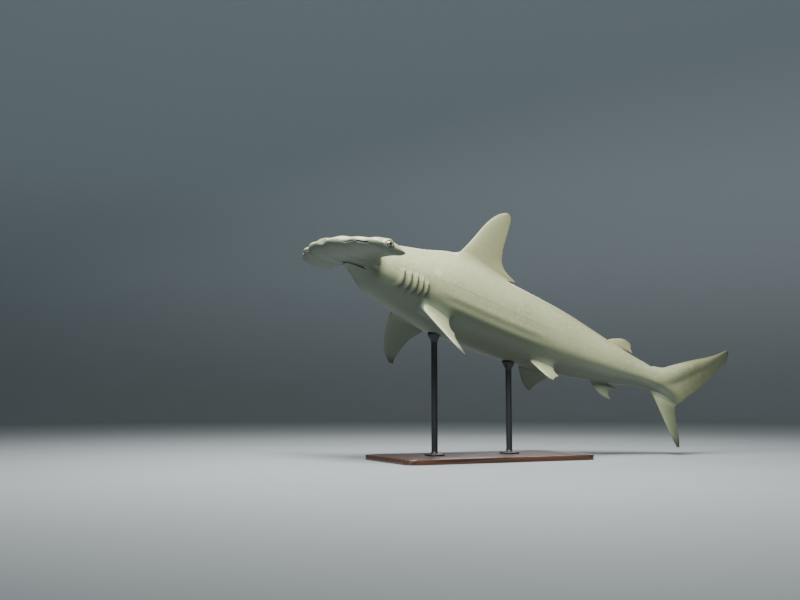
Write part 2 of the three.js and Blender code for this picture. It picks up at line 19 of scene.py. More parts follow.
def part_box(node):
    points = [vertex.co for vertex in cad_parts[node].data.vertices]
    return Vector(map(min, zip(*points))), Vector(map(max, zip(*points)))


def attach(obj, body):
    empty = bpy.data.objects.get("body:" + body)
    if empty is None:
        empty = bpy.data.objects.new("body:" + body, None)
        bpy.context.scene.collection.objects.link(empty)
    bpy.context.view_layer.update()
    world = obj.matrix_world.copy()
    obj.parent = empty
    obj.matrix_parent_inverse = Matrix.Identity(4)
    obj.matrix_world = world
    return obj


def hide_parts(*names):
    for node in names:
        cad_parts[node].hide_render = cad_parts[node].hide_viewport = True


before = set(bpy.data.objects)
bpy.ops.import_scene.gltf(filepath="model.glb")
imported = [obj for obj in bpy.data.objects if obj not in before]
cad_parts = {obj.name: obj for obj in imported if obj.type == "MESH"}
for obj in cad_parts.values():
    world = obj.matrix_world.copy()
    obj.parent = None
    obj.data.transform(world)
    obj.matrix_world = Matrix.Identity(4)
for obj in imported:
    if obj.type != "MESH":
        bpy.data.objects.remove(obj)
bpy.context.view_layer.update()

# Driving dimensions of the animal and its pose over the floor: metres to a percent of its length, how
# it is turned, where its reference station's midline lies, and its heading in degrees by station.
PERCENT = 0.026
NOSE_UP = math.radians(17.7)
BANK = math.radians(-1.5)
MIDDLE = Vector((0.013, 0.029, 0.668))
REFERENCE_STATION = 35
YAW = [
    (0, 14.8),
    (12, 12.3),
    (25, 6.4),
    (38, -0.1),
    (50, -7.8),
    (62, -14),
    (72, -14.9),
    (80, 8.2),
    (100, 45.7),
]
POSE = Matrix.Translation(MIDDLE) @ Matrix.Rotation(NOSE_UP, 4, "Y") @ Matrix.Rotation(BANK, 4, "X")

# Cross sections: station, lowest height, height of the widest level, highest height, half-width.
BODY = [
    (2.8, -0.4, 0.3, 1, 1.6),
    (5, -1.3, 0.25, 1.8, 2.5),
    (8, -2.4, 0.1, 2.8, 3.1),
    (10, -3.5, 0, 3.6, 3.5),
    (12, -4.5, 0, 4.3, 4.1),
    (16, -5.2, 0, 5.5, 5.1),
    (20, -5.8, 0, 6.6, 5.7),
    (28, -6.6, 0, 8.8, 6.1),
    (38, -6.5, 0, 7.9, 5.7),
    (50, -5.7, 0, 6.7, 4.3),
    (62, -4.2, 0, 3.9, 2.7),
    (69, -2.9, -0.2, 2.2, 1.75),
    (72, -2.6, -0.3, 1.8, 1.4),
    (74.5, -1.4, 0.6, 2.8, 1.1),
    (77.5, 0.7, 2.6, 4.3, 0.8),
    (81, 3.3, 4.8, 6.2, 0.55),
    (85, 6.1, 7.2, 8.2, 0.4),
    (89, 9, 9.8, 10.4, 0.25),
]
# The skin's grid: vertices round a ring and those on the back and the keel, how far the back narrows
# to a ridge, the distance between rings, where the tail starts and the pit before it.
SIDES = 72
TOP = SIDES // 4
BOTTOM = 3 * SIDES // 4
BACK_RIDGE = 0.16
RING_STEP = 0.68
TAIL_START = 70.9
TAIL_PIT = {"station": 71.2, "length": 0.7, "depth": 0.3}

# Hammer: half its width, the station it pivots on with its own distance behind the snout there,
# its height, and how its front is lifted, its right side raised and its nose turned back.
HAMMER_HALF = 13.1
HAMMER_PIVOT = 9
HAMMER_BEHIND = 7.8
HAMMER_LEVEL = 0.2
HAMMER_LIFT = math.radians(-1.5)
HAMMER_ROLL = math.radians(1.2)
HAMMER_TURN = math.radians(-6)
# By share of the half-width: where its rear edge lies, how thick it is and its front edge's notches.
HAMMER_REAR = [
    (0, 11),
    (0.15, 10.8),
    (0.26, 9.5),
    (0.36, 8.7),
    (0.55, 8.4),
    (0.8, 8.6),
    (0.94, 9),
    (1, 8.2),
]
HAMMER_THICKNESS = [(0, 2.8), (0.3, 2.7), (0.5, 2.2), (0.8, 1.8), (0.93, 2), (1, 1.9)]
SWEEP_DEPTH = 3.4
SWEEP_POWER = 2.3
FRONT_NOTCHES = [(0, 0.45, 0.1), (0.5, 0.5, 0.09), (0.8, 0.35, 0.06)]
TIP_ROUNDING = 0.07
WING_ROOT_REAR = 9.35
WING_ROOT_SIDES = (2.6, 3.5)
WING_ROOT_ROWS = SIDES // 24
REAR_EDGE = 0.07
HEAD_RINGS = 22
# The hammer's side grows in even rows and then in rows that round its tip, in degrees.
WING_STEPS = 24
WING_TIP_ANGLES = (18, 36, 54, 68, 80, 90)

# Face: the eye and the arch of the mouth in percent, the nostril in shares of the half-width, and the
# heights and depths of what is modelled round them in metres.
EYE = {"behind": 5.3, "reach": 13, "level": 0.2, "radius": 0.56}
MOUTH = {"front": 6.3, "depth": 2.9, "half": 2.6, "power": 1.9}
NOSTRIL = {"from": 0.7, "to": 0.87}
UPPER_LIP = 0.0022
LOWER_LIP = 0.0034
MOUTH_DEPTH = 0.0052
NOSTRIL_RIM = 0.0011
NOSTRIL_DEPTH = 0.0058
GROOVE_DEPTH = 0.0017
SOCKET_REACH = 0.036
# Two folds along the flank: stations, degrees round from the back, and height in metres.
FOLDS = {"from": 22, "to": 50, "at": (96, 112), "height": 0.0022}

# Gill slits: station of the middle, middle height and slit length, front to back.
GILLS = [(15.2, -1.2, 3.3), (16.6, -1.3, 3.5), (17.9, -1.4, 3.4), (19.1, -1.5, 3.1), (20.2, -1.4, 2.5)]
GILL_BOW = 0.35
# One flap and its slit: distance behind the gill's line, height over the flank, and the distance
# behind the line above and below the slit.
GILL_PROFILE = [
    (-0.8, 0, -0.8),
    (-0.45, 0.12, -0.5),
    (-0.14, 0.2, -0.25),
    (-0.02, 0.2, -0.08),
    (0.03, 0.1, 0),
    (-0.04, -0.25, 0.06),
    (0.08, -0.4, 0.12),
    (0.2, -0.25, 0.2),
    (0.26, -0.02, 0.28),
]
# Rows of the slit that lie deeper than this are in shade.
GILL_DARK_FROM = -0.1

# Fin outlines: front edge (along, out), rear edge (along, out) and greatest thickness, root to tip.
FIRST_DORSAL = [
    (27.2, 7.4, 38, 6.8, 1.5),
    (28, 9.1, 38.6, 7.9, 1.3),
    (28.6, 10.2, 41, 8.35, 1),
    (29.4, 11.6, 38.3, 9.6, 0.95),
    (30.4, 13.6, 37, 11.4, 0.85),
    (31.5, 15.9, 36.7, 14.3, 0.7),
    (32.7, 17.9, 36.8, 16.8, 0.55),
    (34.2, 19.5, 36.8, 18.8, 0.42),
    (35.4, 20.2, 36.55, 19.9, 0.3),
    (35.9, 20.27, 36.25, 20.2, 0.2),
]
SECOND_DORSAL = [
    (61, 2.6, 64.7, 2.2, 0.85),
    (61.6, 4.1, 65, 3.2, 0.7),
    (62.2, 4.45, 67, 3.05, 0.5),
    (63, 4.8, 66.4, 3.9, 0.45),
    (64, 5.1, 66.2, 4.6, 0.38),
    (65, 5.25, 65.7, 5.1, 0.25),
]
ANAL = [
    (59.4, -3.4, 63, -2.8, 0.85),
    (60, -4.6, 63.6, -4, 0.7),
    (60.7, -5.3, 65.5, -4.4, 0.5),
    (61.6, -6, 63.9, -5.25, 0.45),
    (62.9, -6.6, 64.1, -6.1, 0.38),
    (64.2, -6.85, 64.8, -6.7, 0.25),
]
# The body's end goes over into the tail's upper lobe, so its first two rows are the stock itself.
CAUDAL_UPPER = [
    (TAIL_START, 1.9, TAIL_START, -2.68, 3),
    (73.2, 2.15, 74.4, -2.95, 1.9),
    (75.2, 3.3, 77.9, -3.75, 1),
    (77.3, 4.5, 80.1, -1.6, 0.85),
    (80, 5.95, 82.5, 0.4, 0.75),
    (82.8, 7.3, 85, 2.7, 0.65),
    (85.6, 8.7, 87.4, 4.8, 0.55),
    (88, 9.95, 89.9, 6.9, 0.5),
    (90, 11, 91.3, 8.5, 0.45),
    (91.3, 11.65, 92.9, 8.9, 0.4),
    (92.6, 12.25, 94, 10.3, 0.35),
    (93.4, 12.55, 94.1, 11.8, 0.2),
]
TAIL_STEPS = 4
FORK_ROW = 2
CAUDAL_LOWER = [
    (71.8, -1.4, 76.5, -1.4, 1.3),
    (72.4, -3.2, 77.8, -3.8, 1.1),
    (73.5, -4.6, 77.9, -5, 0.9),
    (75.1, -6.5, 78.6, -6.6, 0.7),
    (76.8, -8.4, 79.5, -8.1, 0.55),
    (78.5, -10, 80.4, -9.7, 0.4),
    (80.2, -11.3, 80.9, -11.1, 0.22),
]
PECTORAL = [
    (-0.2, -1.6, 4.8, -1.6, 1.5),
    (0, 0, 5.2, 0, 1.35),
    (0.4, 1.6, 7.4, 1.7, 1.05),
    (1, 3.5, 6.7, 3.7, 0.85),
    (1.9, 5.8, 6.3, 6, 0.7),
    (3.1, 8.1, 6.3, 8.3, 0.55),
    (4.6, 10.2, 6.5, 10.3, 0.4),
    (6, 11.4, 6.8, 11.4, 0.22),
]
PELVIC = [
    (-0.3, -1.3, 4.2, -1.3, 0.9),
    (0, 0, 4.6, 0, 0.8),
    (0.8, 1, 6.5, 1, 0.6),
    (1.8, 2.3, 5.6, 2.4, 0.5),
    (3, 3.6, 5, 3.7, 0.4),
    (4.1, 4.4, 4.8, 4.4, 0.22),
]
# Where paired fins leave the body and how far their ends curl; and in degrees how steeply each hangs,
# swings back and tips its rear edge down.
PECTORAL_ROOT = {"station": 20.6, "reach": 4.6, "height": -4.3, "curl": 0.4}
PECTORAL_LEFT = {**PECTORAL_ROOT, "side": -1, "droop": 30.5, "swing": -6, "tip": 10}
PECTORAL_RIGHT = {**PECTORAL_ROOT, "side": 1, "droop": 35, "swing": 4, "tip": 4}
PELVIC_ROOT = {"station": 46, "reach": 2.1, "height": -5, "curl": 0.2}
PELVIC_LEFT = {**PELVIC_ROOT, "side": -1, "droop": 31, "swing": -7, "tip": 4}
PELVIC_RIGHT = {**PELVIC_ROOT, "side": 1, "droop": 53, "swing": 0, "tip": 4}
# How each fin grows: the row of its outline that it starts from, the room before and behind its root,
# and its share of belly paint above and below and of dusk at its tip.
FIRST_DORSAL_GROWTH = {"from": 1.3, "before": 0.3, "behind": 0.5, "over": 0, "under": 0, "tip": 0.35}
SECOND_DORSAL_GROWTH = {"from": 0.75, "before": 0, "behind": 0.3, "over": 0, "under": 0, "tip": 0.8}
ANAL_GROWTH = {"from": 0.75, "before": 0, "behind": 0.3, "over": 0.7, "under": 0.7, "tip": 0.5}
CAUDAL_LOWER_GROWTH = {"from": 1.2, "over": 0.25, "under": 0.25, "tip": 0.8}
PECTORAL_GROWTH = {"from": 1.35, "before": 0.1, "behind": 0.5, "over": 0, "under": 1, "tip": 0.9}
PELVIC_GROWTH = {"from": 1.4, "before": 0.2, "behind": 0.4, "over": 0, "under": 1, "tip": 0.4}
FIN_STEPS = 4
FIN_ROOT_FACES = 4
FRONT_FULLNESS = 0.35
# What the skin's mark of roots says.
FIN_ROOT = 1
WING_ROOT = 2

# Stand: the board's corner and the steps of its moulded edge (inward, up), the turned profile of a
# rod (out, up, whether measured from its top), its cup, its foot and its screws. All in metres.
BASE_CORNER = 0.06
BASE_LOWER_EDGE = 0.0015
BASE_MOULDING = [
    (0.0012, 0.0008),
    (0.0016, 0),
    (0.0018, -0.0012),
    (0.0024, -0.0006),
    (0.003, 0.0002),
    (0.0025, 0.001),
    (0.0015, 0.0004),
]
ROD_PROFILE = [
    (0, 0.0003, False),
    (0.0445, 0.0003, False),
    (0.046, 0.0018, False),
    (0.046, 0.0052, False),
    (0.0452, 0.0068, False),
    (0.0432, 0.0078, False),
    (0.024, 0.0086, False),
    (0.0195, 0.0098, False),
    (0.0165, 0.0124, False),
    (0.0148, 0.0158, False),
    (0.014, 0.02, False),
    (0.014, -0.05, True),
    (0.0146, -0.044, True),
    (0.0172, -0.036, True),
    (0.0225, -0.026, True),
    (0.0275, -0.017, True),
    (0.0298, -0.009, True),
    (0.03, 0.002, True),
    (0.027, 0.004, True),
    (0.018, 0.004, True),
    (0.009, 0.004, True),
    (0, 0.004, True),
]
CUP_HEIGHT = 0.03
REST_GAP = 0.0003
SCREW_CIRCLE = 0.034
SCREW_RADIUS = 0.0045
FLANGE_TOP = 0.0082

# Floor and the wall it curves into, in metres.
FLOOR_RADIUS = 8
COVE = 3
WALL_TOP = 9

# Camera at the photograph's viewing angle, in metres and millimetres.
CAMERA_AT = (-2.200, -3.833, 0.269)
CAMERA_FORWARD = (0.4224, 0.9004, 0.1046)
LENS = 42.89
SENSOR = 36
# Lights: where they hang, where they aim, their two sides in metres, watts and degrees of spread.
LIGHTS = {
    "key": ((-1.5, -1.1, 3.5), (0.1, 0, 0.7), (2.4, 1), 340, 130),
    "rim": ((2.2, 2.8, 2.6), (0.3, 0, 0.7), (1.5, 1.5), 20, 120),
}
SKY_STRENGTH = 0.6

# A patch of healed grazes over the left gills, in metres.
GRAZE = {"at": (-0.282, -0.138, 0.83), "radius": 0.026}
# Where the lateral line runs, in radians round from the back.
LATERAL_LINE = 1.42
# The output and the inputs of a Mix node that mixes colours.
COLOUR = 2
FACTOR, FIRST, SECOND = 0, 6, 7

FLESH = [
    "head",
    "gill_region",
    "trunk_front",
    "trunk_rear",
    "tail_stock",
    "caudal_fin_upper",
    "caudal_fin_lower",
    "first_dorsal_fin",
    "second_dorsal_fin",
    "anal_fin",
    "pectoral_fin_left",
    "pectoral_fin_right",
    "pelvic_fin_left",
    "pelvic_fin_right",
]


def curve_through(knots):
    """A smooth curve through knots (at, value) that never overshoots them."""
    places = [knot[0] for knot in knots]
    values = [knot[1] for knot in knots]
    rises = [(values[i + 1] - values[i]) / (places[i + 1] - places[i]) for i in range(len(knots) - 1)]
    slopes = []
    for i in range(len(knots)):
        before = rises[max(i - 1, 0)]
        after = rises[min(i, len(rises) - 1)]
        slopes.append(2 * before * after / (before + after) if before * after > 0 else 0)

    def value_at(at):
        x = min(max(at, places[0]), places[-1])
        i = min(bisect.bisect_right(places, x) - 1, len(rises) - 1)
        span = places[i + 1] - places[i]
        t = (x - places[i]) / span
        eased = t * t * (3 - 2 * t)
        lean = slopes[i] * t * (1 - t) ** 2 - slopes[i + 1] * t * t * (1 - t)
        return values[i] + (values[i + 1] - values[i]) * eased + span * lean

    return value_at


def columns_of(rows):
    """One curve for each column of a table whose first column is the place along it."""
    return [curve_through([(row[0], row[k]) for row in rows]) for k in range(1, len(rows[0]))]


def mix(a, b, share):
    """The value a share of the way from a to b."""
    return a + (b - a) * share


def ease(value, start, end):
    """0 before start, 1 after end and smooth in between."""
    t = min(max((value - start) / (end - start), 0), 1)
    return t * t * (3 - 2 * t)


def soft_max(a, b, softness=0.35):
    """The larger of two heights, rounded where they meet as a fillet is."""
    return (a + b + math.sqrt((a - b) ** 2 + softness**2) - softness) / 2


heading_at = curve_through([(station, math.radians(degrees)) for station, degrees in YAW])
low_at, widest_at, high_at, half_width_at = columns_of(BODY)
hammer_rear = curve_through(HAMMER_REAR)
hammer_thickness = curve_through(HAMMER_THICKNESS)


def height_at(station, up):
    """Height of the body's surface at a level, from -1 at the keel to 1 on the back."""
    widest = widest_at(station)
    return widest + up * (high_at(station) - widest if up > 0 else widest - low_at(station))


@lru_cache(maxsize=None)
def midline_at(station):
    """Midline in plan, summed from the reference station in small steps."""
    steps = 24
    step = (station - REFERENCE_STATION) / steps
    headings = [heading_at(REFERENCE_STATION + (i + 0.5) * step) for i in range(steps)]
    return sum(math.cos(h) for h in headings) * step, sum(math.sin(h) for h in headings) * step


def place(station, side, height):
    """A point of the animal before it is posed, from its station, side and height."""
    x, y = midline_at(station)
    heading = heading_at(station)
    return Vector((x - math.sin(heading) * side, y + math.cos(heading) * side, height)) * PERCENT


def place_on_hammer(along, side, off):
    """A point of the head from its distance behind the snout, side and height over the hammer's plane."""
    heading = heading_at(HAMMER_PIVOT) + HAMMER_TURN
    ahead = HAMMER_BEHIND - along
    forward = ahead * math.cos(HAMMER_LIFT) - off * math.sin(HAMMER_LIFT)
    rise = ahead * math.sin(HAMMER_LIFT) + off * math.cos(HAMMER_LIFT)
    across = side * math.cos(HAMMER_ROLL) - rise * math.sin(HAMMER_ROLL)
    height = HAMMER_LEVEL + side * math.sin(HAMMER_ROLL) + rise * math.cos(HAMMER_ROLL)
    x, y = midline_at(HAMMER_PIVOT)
    x += -math.cos(heading) * forward - math.sin(heading) * across
    y += -math.sin(heading) * forward + math.cos(heading) * across
    return Vector((x, y, height)) * PERCENT


def bell(distance, width):
    """1 at no distance, falling off smoothly over a width."""
    return math.exp(-((distance / width) ** 2))


def tip_rounding(share):
    """How far a share of the hammer's half-width is into its rounded tip."""
    return max(0, share - 1 + TIP_ROUNDING) / TIP_ROUNDING


def hammer_front(share):
    """Front edge of the hammer at a share of its half-width: a broad arch with scalloped notches."""
    notches = sum(depth * bell(share - at, width) for at, depth, width in FRONT_NOTCHES)
    return SWEEP_DEPTH * share**SWEEP_POWER + notches + 0.9 * tip_rounding(share) ** 3


def hammer_off(share, chord):
    """Height of the hammer's upper face over its own plane, at a share of its width and of its chord."""
    closing = math.sqrt(max(0, 1 - tip_rounding(share) ** 2))
    thickness = hammer_thickness(share) * closing
    blade = thickness * math.sqrt(chord * (1 - chord)) * (1 + 0.25 * (1 - 2 * chord))
    return blade + REAR_EDGE * chord**4 * closing


def relax(bm, verts, times):
    """Smooths a mesh round some of its vertices."""
    for _ in range(times):
        bmesh.ops.smooth_vert(
            bm, verts=verts, factor=0.5, use_axis_x=True, use_axis_y=True, use_axis_z=True
        )


class Skin:
    """The growing skin: its mesh, its grid of rings and what the finish follows on it."""

    def __init__(self):
        self.bm = bmesh.new()
        self.rings = []
        self.marks = []
        names = ("belly", "along", "girth", "fin", "tip", "cavity", "snout", "root")
        self.layers = {name: self.bm.verts.layers.float.new(name) for name in names}

    def mark(self, vertex, **values):
        """Notes what the finish follows at a vertex."""
        for name, value in values.items():
            vertex[self.layers[name]] = value

    def extend(self, line, points):
        """Pulls the edges of a closed line of vertices out to new points and returns the new line."""
        edges = []
        for a, b in zip(line, line[1:] + line[:1]):
            edges.append(self.bm.edges.get((a, b)))
        made = bmesh.ops.extrude_edge_only(self.bm, edges=edges)["geom"]
        fresh = {item for item in made if isinstance(item, bmesh.types.BMVert)}
        new_line = []
        for old, point in zip(line, points):
            new = next(edge.other_vert(old) for edge in old.link_edges if edge.other_vert(old) in fresh)
            new.co = point
            new[self.layers["root"]] = 0
            new[self.layers["cavity"]] = 0
            new_line.append(new)
        return new_line

    def add_ring(self, points, station):
        """Adds a ring of the grid, grown out of the one before it."""
        if self.rings:
            ring = self.extend(self.rings[-1], points)
        else:
            ring = bmesh.ops.create_circle(self.bm, segments=len(points), radius=PERCENT)["verts"]
            for vertex, point in zip(ring, points):
                vertex.co = point
        self.rings.append(ring)
        self.marks.append(station)
        return ring

    def ring_near(self, station):
        """The number of the ring nearest to a station."""
        return min(range(len(self.marks)), key=lambda i: abs(self.marks[i] - station))

    def open_patch(self, first, last, low, high):
        """Opens a patch of the grid between two rings and two rows. Its edge is returned in order, as
        (vertex, share from front to rear, -1 to 1 across), from the middle of the front row."""
        rows = list(range(low, high + 1))
        middle = (len(rows) - 1) / 2
        front = [(first, j) for j in rows[int(middle):]]
        upper = [(i, high) for i in range(first + 1, last)]
        rear = [(last, j) for j in reversed(rows)]
        lower = [(i, low) for i in range(last - 1, first, -1)]
        front_end = [(first, j) for j in rows[: int(middle)]]
        edge = []
        for i, j in front + upper + rear + lower + front_end:
            share = (i - first) / (last - first)
            edge.append((self.rings[i][j % SIDES], share, (j - low - middle) / middle))
        inside = [self.rings[i][j % SIDES] for i in range(first + 1, last) for j in rows[1:-1]]
        bmesh.ops.delete(self.bm, geom=inside, context="VERTS")
        return edge

    def settle(self, root, times):
        """Smooths the surface where fins of a kind are rooted, widely at first and then closer in."""
        region = {vertex for vertex in self.bm.verts if abs(vertex[self.layers["root"]] - root) < 0.1}
        widening = [set(region)]
        for _ in times[1:]:
            region |= {edge.other_vert(v) for v in region for edge in v.link_edges}
            widening.append(set(region))
        for verts, count in zip(reversed(widening), times):
            relax(self.bm, list(verts), count)


def belly_share(up):
    """The share of belly paint at a level of the body, from -1 at the keel to 1 on the back. It carries
    the painted shade of the lower flank and the belly.
    """
    return ease(-up, 0.1, 0.75)


def body_point(station, angle, out=0):
    """A point of the body's surface at an angle from its right side, moved out sideways."""
    up = math.sin(angle)
    narrowing = 1 - BACK_RIDGE * max(0, up) ** 2
    pit = TAIL_PIT["depth"] * bell(station - TAIL_PIT["station"], TAIL_PIT["length"])
    side = math.cos(angle) * half_width_at(station) * narrowing
    return place(station, side + math.copysign(out, side), height_at(station, up) - pit * ease(up, 0.8, 1))


def ring_angles():
    return [2 * math.pi * j / SIDES for j in range(SIDES)]


def from_top(angle):
    """An angle round the body measured from its back, alike on both sides."""
    return abs((angle - math.pi / 2 + math.pi) % (2 * math.pi) - math.pi)


def head_point(share, angle):
    """A point of the middle of the head, between the snout's edge and the neck behind the hammer."""
    chord = 1 - math.cos(share * math.pi / 2)
    root_angle = 2 * math.pi * WING_ROOT_ROWS / SIDES
    root_side = mix(*WING_ROOT_SIDES, chord**2)
    half = root_side / math.cos(root_angle)
    up = math.sin(angle)
    across = max(-1, min(1, math.cos(angle) / math.cos(root_angle)))
    narrowing = 1 - BACK_RIDGE * max(0, up) ** 2 * chord**2
    if abs(up) < math.sin(root_angle) - 1e-6 and share < 1:
        side = math.copysign(root_side, across)
        level = 0
    else:
        side = half * math.cos(angle) * narrowing
        level = math.copysign(1, up)
    width_share = min(1, abs(side) / HAMMER_HALF)
    along = mix(hammer_front(width_share), WING_ROOT_REAR, chord)
    station = along + HAMMER_PIVOT - HAMMER_BEHIND
    widest = widest_at(station)
    rise = math.sqrt(max(0, 1 - (half / max(half_width_at(station), 0.01) * math.cos(angle)) ** 2))
    blade = hammer_off(width_share, chord)
    if share >= 1:
        height = height_at(station, up)
    elif level > 0:
        height = soft_max(blade, widest + (high_at(station) - widest) * rise)
    elif level < 0:
        height = -soft_max(blade, (widest - low_at(station)) * rise - widest)
    else:
        height = 0
    if share <= 0:
        height = 0
    on_hammer = place_on_hammer(along, side, height)
    on_body = place(station, side, height)
    return on_hammer.lerp(on_body, ease(chord, 0.45, 1)), along, side, height


def add_head_rings(skin):
    for i in range(HEAD_RINGS + 1):
        share = i / HEAD_RINGS
        points = [head_point(share, angle) for angle in ring_angles()]
        station = points[0][1] + HAMMER_PIVOT - HAMMER_BEHIND
        ring = skin.add_ring([point[0] for point in points], station)
        for vertex, angle in zip(ring, ring_angles()):
            up = math.sin(angle)
            # The hammer's underside and the belly take belly paint, darkened with painted shade.
            under = mix(ease(-up, -0.2, 0.2), belly_share(up), ease(share, 0.8, 1))
            snout = 1 - ease(station, 8, 11)
            skin.mark(vertex, belly=under, along=station, girth=from_top(angle), snout=snout)


def add_body_ring(skin, station):
    points = [body_point(station, angle) for angle in ring_angles()]
    ring = skin.add_ring(points, station)
    for vertex, angle in zip(ring, ring_angles()):
        under = belly_share(math.sin(angle))
        skin.mark(vertex, belly=under, along=station, girth=from_top(angle), snout=0)


def add_gill_rings(skin, gill):
    """The rings of one pair of gill slits: each flap rises to its lip, and the slit lies behind it."""
    at, middle, length = gill
    for behind, out, rest in GILL_PROFILE:
        points = []
        recess_shades = []
        for angle in ring_angles():
            share = (height_at(at, math.sin(angle)) - middle) / (length / 2)
            fade = math.sqrt(max(0, 1 - share * share))
            held = max(-1, min(1, share))
            relax = 1 - ease(abs(share), 1, 2.6)
            bend = (-GILL_BOW * held * held - 0.12 * held) * relax
            station = at + bend + mix(rest, behind, min(1, 1.6 * fade))
            points.append(body_point(station, angle, out * min(1, 1.3 * fade)))
            # Rows deep in the slit get painted shade.
            recess_shades.append(min(1, 1.6 * fade) if out < GILL_DARK_FROM else 0)
        ring = skin.add_ring(points, at + rest)
        for vertex, angle, cavity in zip(ring, ring_angles(), recess_shades):
            under = belly_share(math.sin(angle))
            skin.mark(vertex, belly=under, along=at + rest, girth=from_top(angle), cavity=cavity)


def add_tail_rings(skin):
    """Rings of the tail's upper lobe, slanted from its front edge to its rear edge."""
    curves = columns_of([(i, *row) for i, row in enumerate(CAUDAL_UPPER)])
    count = (len(CAUDAL_UPPER) - 1) * TAIL_STEPS
    for k in range(1, count + 2):
        row = min(k, count) / TAIL_STEPS
        front_along, front_out, rear_along, rear_out, thickness = [curve(row) for curve in curves]
        closing = 0 if k > count else 1
        points = []
        for angle in ring_angles():
            across = (1 - math.sin(angle)) / 2
            station = mix(front_along, rear_along, across)
            height = mix(front_out, rear_out, across)
            fullness = 1 + FRONT_FULLNESS * math.sin(angle) * ease(row, 0, 2)
            blade = thickness / 2 * abs(math.cos(angle)) * fullness
            widest = widest_at(station)
            reach = high_at(station) - widest if height > widest else widest - low_at(station)
            level = (height - widest) / reach
            stock = half_width_at(station) * math.sqrt(max(0, 1 - level * level))
            side = soft_max(blade, stock, 0.15) if station < BODY[-1][0] else blade
            points.append(place(station, math.copysign(side * closing, math.cos(angle)), height))
        ring = skin.add_ring(points, mix(front_along, rear_along, 0.5))
        for vertex, angle in zip(ring, ring_angles()):
            across = (1 - math.sin(angle)) / 2
            pale = belly_share(math.sin(angle)) * (1 - ease(row, 0.5, 3))
            skin.mark(
                vertex,
                belly=pale,
                along=front_along,
                girth=from_top(angle),
                fin=ease(row, 0.5, 3),
                tip=0.6 * ease(row, 8, 11) + 0.4 * ease(across, 0.9, 1) * ease(row, 2, 4),
            )


def fin_section(chord, thickness):
    """Half the thickness of a fin at a share of its chord: a full front edge and a thin rear edge."""
    full = 1 + FRONT_FULLNESS * (1 - 2 * chord)
    return thickness * math.sqrt(max(0, chord * (1 - chord))) * full * (1 - 0.35 * chord * chord)


def grow_fin(skin, patch, outline, growth, to_point, turn):
    """Grows a fin out of an opened patch of the body, row by row, and closes it along its tip."""
    curves = columns_of([(i, *row) for i, row in enumerate(outline)])
    last_row = len(outline) - 1
    count = round((last_row - growth["from"]) * FIN_STEPS)
    line = [vertex for vertex, _, _ in patch]
    for vertex in line:
        skin.mark(vertex, root=FIN_ROOT)
    size = len(line)
    for k in range(count + 2):
        row = mix(growth["from"], last_row, min(k / count, 1))
        front_along, front_out, rear_along, rear_out, thickness = [curve(row) for curve in curves]
        if k > count:
            thickness = 0
        points = []
        chords = []
        for index, (_, share, _) in enumerate(patch):
            angle = 2 * math.pi * index / size
            chord = ((1 - math.cos(angle)) / 2 + share) / 2
            along = mix(front_along, rear_along, chord)
            off = turn * math.copysign(fin_section(chord, thickness), math.sin(angle))
            if index in (0, size // 2):
                off = 0
            points.append(to_point(along, mix(front_out, rear_out, chord), off))
            chords.append((chord, along, angle))
        line = skin.extend(line, points)
        grown = k / count
        for vertex, (chord, along, angle) in zip(line, chords):
            skin.mark(
                vertex,
                belly=growth["over" if math.sin(angle) * turn > 0 else "under"],
                along=along,
                fin=min(1, 0.3 + grown),
                tip=growth["tip"] * ease(grown, 0.6, 1) + 0.25 * ease(chord, 0.93, 1),
                root=FIN_ROOT if k == 0 else 0,
            )


def median_point(along, out, off):
    """A point of a fin in the middle of the body."""
    return place(along, off, out)


def grow_median_fin(skin, outline, growth, middle_row, turn):
    first = skin.ring_near(outline[0][0] - growth["before"])
    last = skin.ring_near(outline[0][2] + growth["behind"])
    half = FIN_ROOT_FACES // 2
    patch = skin.open_patch(first, last, middle_row - half, middle_row + half)
    grow_fin(skin, patch, outline, growth, median_point, turn)


def paired_point(fin, span):
    """How a paired fin's own (along, out, off) become a point of the animal."""
    hang, turn, pitch = [math.radians(fin[name]) for name in ("droop", "swing", "tip")]

    def to_point(along, out, off):
        back = along * math.cos(turn) + out * math.sin(turn)
        away = out * math.cos(turn) - along * math.sin(turn)
        over = off - fin["curl"] * max(0, away / span) ** 2
        backward = back * math.cos(pitch) + over * math.sin(pitch)
        upward = over * math.cos(pitch) - back * math.sin(pitch)
        across_body = fin["reach"] + away * math.cos(hang) + upward * math.sin(hang)
        up_body = fin["height"] - away * math.sin(hang) + upward * math.cos(hang)
        return place(fin["station"] + backward, fin["side"] * across_body, up_body)

    return to_point


def grow_paired_fin(skin, outline, growth, fin):
    chord = outline[1][2]
    station = fin["station"] + chord / 2
    widest = widest_at(station)
    level = (fin["height"] - widest) / (widest - low_at(station))
    angle = math.atan2(level, fin["reach"] / half_width_at(station))
    row = round(angle / (2 * math.pi) * SIDES)
    if fin["side"] < 0:
        row = SIDES // 2 - row
    half = FIN_ROOT_FACES // 2
    first = skin.ring_near(fin["station"] - growth["before"])
    last = skin.ring_near(fin["station"] + chord + growth["behind"])
    patch = skin.open_patch(first, last, row - half, row + half)
    grow_fin(skin, patch, outline, growth, paired_point(fin, outline[-1][1]), fin["side"])


